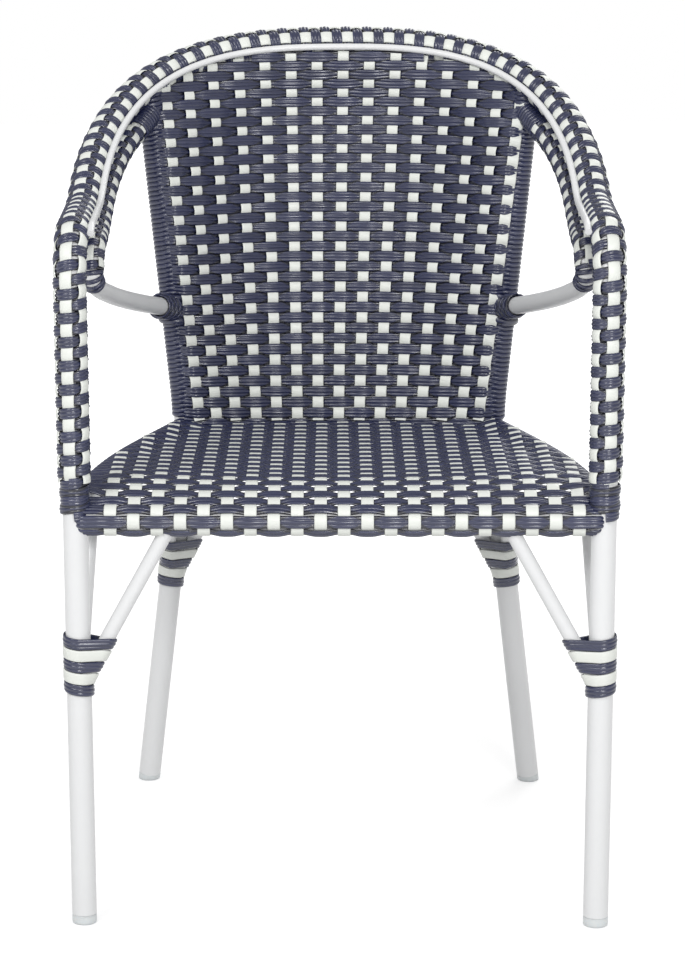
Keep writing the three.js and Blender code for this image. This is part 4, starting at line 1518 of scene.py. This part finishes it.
class WeaveSeat(bpy.types.Operator):
    """Weave the seat over its four rails"""

    bl_idname = "armchair.seat"
    bl_label = "Woven seat"

    def execute(self, context):
        w = weave()
        seat = SeatShape()
        whole = seat.lengths[-1]
        middle = (w.seat_stakes - 1) / 2
        rows, girths = [], []
        while seat_row_run(len(rows)) < whole:
            row = len(rows)
            run = seat_row_run(row)
            base = at_length(seat.profile, seat.lengths, run)
            side = seat.half(base.y).x
            if base.y <= 18 * MM:
                reach = FRONT_ROW_REACH
            elif base.y < seat.rear.y - 4 * MM:
                reach = side + seat.side_roll * ROUND_SIDE_RAIL
            else:
                reach = REAR_ROW_REACH
            count = round(2 * reach / (3.9 * MM))
            line = []
            for i in range(count + 1):
                x = -reach + 2 * reach * i / count
                outward = surface_outward(seat.place, x, run, SEAT_STEP)
                stake = (x - w.seat_offset) / w.seat_pitch + middle
                hold = smoothed(min(stake + 1.0, w.seat_stakes - stake, 1.0))
                hold *= smoothed((side + 6 * MM - abs(x)) / (12 * MM))
                line.append((seat.place(x, run), outward, stake + row + 1, hold))
            rows.append(line)
            pitch = (seat_row_run(row + 1) - seat_row_run(row - 1)) / 2
            girths.append(pitch / (SEAT_PITCH * MM) - 1)
        shape = {
            "Width": 12.7 * MM,
            "Thickness": 3.1 * MM,
            "Wave": 1.3 * MM,
            "Swell": -0.04,
            "Unevenness": 0.6 * MM,
        }
        woven_piece("seat_rows", rows, "Ribbed", "navy", shape, "seat_panel", girths)
        stakes = []
        for stake in range(w.seat_stakes):
            x = (stake - middle) * w.seat_pitch + w.seat_offset
            line, run = [], 0.0
            while run < whole:
                point = seat.place(x, run)
                if point.y > 20 * MM and abs(x) > seat.half(point.y).x + 2 * MM:
                    break
                outward = surface_outward(seat.place, x, run, SEAT_STEP)
                line.append((point, outward, seat_row_at(run) + stake, 1.0))
                run += 2.6 * MM
            stakes.append(line)
        shape = {"Width": 12.6 * MM, "Thickness": w.stake_t, "Wave": 1.5 * MM, "Swell": 0.0}
        woven_piece("seat_stakes", stakes, "Flat", "white", shape, "seat_panel")
        return {"FINISHED"}


def bound_place(members, z, angle, offset):
    """Where a strand round several round bars lies, facing one way, at one height."""
    facing = Vector((math.cos(angle), math.sin(angle), 0))
    farthest = None
    for foot, head, radius, is_leg in members:
        part = (z - foot.z) / (head.z - foot.z)
        place = foot.lerp(head, part if is_leg else max(0.0, part))
        lean = (head - foot) / (head.z - foot.z)
        lean.z = 0
        leaning = facing.dot(lean)
        reach = radius * math.sqrt(1 + leaning**2)
        edge = (facing + lean * leaning) * (radius**2 / reach)
        value = place.dot(facing) + reach
        if farthest is None or value > farthest[0]:
            farthest = (value, Vector((place.x + edge.x, place.y + edge.y, z)))
    return farthest[1] + facing * offset, facing


JOINT_PITCH = 11.7 * MM
JOINT_LOOPS = 5
JOINT_STEPS = 40
JOINT_LIFT = 2.2 * MM
JOINT_BELOW = 3.7 * MM  # how far under the braces' feet the first loop begins
LEAN_STEP = 4 * MM  # how far up and down a loop's lean is measured
# Each tone's first loop, outline and slot
TONES = {"navy": (0, "Ribbed", "navy_binding"), "white": (1, "Flat", None)}


def joint_loop(members, lowest, loop, side):
    """One loop of a joint's winding, which neither rises nor dips."""
    line, outs = [], []
    for i in range(JOINT_STEPS + 3):
        turned = loop + i / JOINT_STEPS
        height = lowest + JOINT_PITCH * turned
        angle = math.tau * (turned + 0.25)
        (place, facing), (above, _), (below, _) = (
            bound_place(members, height + away, angle, JOINT_LIFT)
            for away in (0, LEAN_STEP, -LEAN_STEP)
        )
        rise = above - below
        rise.z = max(rise.z, math.hypot(rise.x, rise.y))
        rise.normalize()
        line.append(place)
        outs.append((facing - rise * facing.dot(rise)).normalized())
    return [(place, out, 0.0, 0.0) for place, out in zip(sided(line, side), sided(outs, side))]


class WindJoints(bpy.types.Operator):
    """Wind navy and white strand round the leg joints and their braces"""

    bl_idname = "armchair.joints"
    bl_label = "Joint windings"

    def execute(self, context):
        f = sizes()
        braces = brace_lines()
        shape = {"Width": 11.4 * MM, "Thickness": 1.9 * MM, "Wave": 0.0, "Swell": 0.0}
        legs = (("front", front_leg_at, f.joint_z), ("rear", rear_leg_at, f.rear_joint_z))
        for label, leg_at, joint_z in legs:
            members = [(leg_at(0), leg_at(f.knee_z), f.tube_r, True)]
            for kind in ("brace", "side_brace"):
                members.append((*braces[f"{label}_{kind}"], f.brace_r, False))
            lowest = joint_z - JOINT_BELOW
            for name, side in SIDES.items():
                for tone, (first, outline, slot) in TONES.items():
                    lines = [
                        joint_loop(members, lowest, loop, side)
                        for loop in range(first, JOINT_LOOPS, 2)
                    ]
                    title, node = f"{label}_joint_{tone}_{name}", f"{label}_joint_winding_{name}"
                    woven_piece(title, lines, outline, tone, shape, node)
        return {"FINISHED"}


# The stage


def lamp(name, place, target, size, power):
    light = bpy.data.lights.new(name, "AREA")
    light.shape = "RECTANGLE"
    light.size, light.size_y = size
    light.energy = power
    holder = bpy.data.objects.new(name, light)
    bpy.context.scene.collection.objects.link(holder)
    holder.location = place
    holder.rotation_euler = (Vector(target) - Vector(place)).to_track_quat("-Z", "Y").to_euler()


def white_world():
    world = bpy.data.worlds.new("White studio")
    bpy.context.scene.world = world
    world.use_nodes = True
    net = Net(world.node_tree)
    net.tree.nodes.clear()
    path = net.node("ShaderNodeLightPath")
    seen = net.math("MAXIMUM", path.outputs["Is Camera Ray"], path.outputs["Is Transmission Ray"])
    strength = net.plus(0.62, net.times(seen, 0.38))
    sockets = {"Color": (1, 1, 1, 1), "Strength": strength}
    background = net.add("ShaderNodeBackground", sockets)
    net.node("ShaderNodeOutputWorld", {"Surface": background})


def floor_material():
    material = bpy.data.materials.new("White floor")
    material.use_nodes = True
    net = Net(material.node_tree)
    net.tree.nodes.clear()
    path = net.node("ShaderNodeLightPath")
    seen = net.math("MAXIMUM", path.outputs["Is Camera Ray"], path.outputs["Is Glossy Ray"])
    seen = net.math("MAXIMUM", seen, path.outputs["Is Transmission Ray"])
    cloth = net.add("ShaderNodeBsdfDiffuse", {"Color": (0.62, 0.62, 0.62, 1)})
    place = net.add("ShaderNodeTexCoord", out="Object")
    far = net.add(
        "ShaderNodeMapRange",
        {
            "Value": net.add("ShaderNodeVectorMath", {0: place}, out="Value", operation="LENGTH"),
            "From Min": 0.5,
            "From Max": 2.5,
            "To Min": 0.52,
            "To Max": 1.0,
        },
    )
    glow = net.add("ShaderNodeEmission", {"Color": (1, 1, 1, 1), "Strength": net.times(seen, far)})
    both = net.add("ShaderNodeAddShader", {0: cloth, 1: glow})
    net.node("ShaderNodeOutputMaterial", {"Surface": both})
    return material


class BuildStage(bpy.types.Operator):
    """Set the floor, the lamps and the camera"""

    bl_idname = "armchair.stage"
    bl_label = "Stage"

    def execute(self, context):
        scene = context.scene
        scene.view_settings.view_transform = "Standard"
        mesh = bpy.data.meshes.new("Floor")
        mesh.from_pydata([(-9, -9, 0), (9, -9, 0), (9, 9, 0), (-9, 9, 0)], [], [(0, 1, 2, 3)])
        mesh.materials.append(floor_material())
        floor = bpy.data.objects.new("Floor", mesh)
        scene.collection.objects.link(floor)
        white_world()
        lamp("Key", (-1.6, -2.4, 2.6), (0, 0, 0.45), (1.2, 1.2), 34)
        lamp("Front", (0.7, -3.3, 1.7), (0, 0, 0.5), (0.8, 0.8), 46)
        lamp("Back", (1.2, 2.6, 2.4), (0, 0, 0.4), (1.8, 1.8), 30)
        camera = bpy.data.objects.new("Camera", bpy.data.cameras.new("Camera"))
        scene.collection.objects.link(camera)
        scene.camera = camera
        camera.data.lens = 112.83
        camera.data.sensor_width = 36
        camera.data.shift_x = 0.1273
        camera.data.shift_y = -0.1001
        camera.data.clip_end = 50
        turn = Matrix.Rotation(0.03773, 4, "Z")
        pitch = Matrix.Rotation(math.pi / 2 - 0.17316, 4, "X")
        roll = Matrix.Rotation(-0.00753, 4, "Z")
        place = Matrix.Translation((-0.0066, -3.1418, 1.0603))
        camera.matrix_world = place @ turn @ pitch @ roll
        return {"FINISHED"}


OPERATORS = (
    BuildTubes,
    BuildCaps,
    WeaveHoop,
    WeaveSupports,
    WindStiles,
    WindCorners,
    WeaveBack,
    WeaveSeat,
    WindJoints,
    BuildStage,
)


class ArmchairPanel(bpy.types.Panel):
    """Lists the armchair's pieces"""

    bl_idname = "VIEW3D_PT_armchair"
    bl_label = "Woven armchair"
    bl_space_type = "VIEW_3D"
    bl_region_type = "UI"
    bl_category = "Armchair"

    def draw(self, context):
        for operator in OPERATORS:
            self.layout.operator(operator.bl_idname)
        for group in (sizes(), weave(), finishes()):
            box = self.layout.box()
            for name in group.__annotations__:
                box.prop(group, name)


CLASSES = (FrameSizes, WeaveSizes, Finishes, *OPERATORS, ArmchairPanel)


def register():
    for cls in CLASSES:
        bpy.utils.register_class(cls)
    bpy.types.Scene.armchair_frame = PointerProperty(type=FrameSizes)
    bpy.types.Scene.armchair_weave = PointerProperty(type=WeaveSizes)
    bpy.types.Scene.armchair_finish = PointerProperty(type=Finishes)


def unregister():
    del bpy.types.Scene.armchair_finish
    del bpy.types.Scene.armchair_weave
    del bpy.types.Scene.armchair_frame
    for cls in reversed(CLASSES):
        bpy.utils.unregister_class(cls)


def main():
    register()
    for operator in OPERATORS:
        group, name = operator.bl_idname.split(".")
        getattr(getattr(bpy.ops, group), name)()


if __name__ == "__main__":
    main()
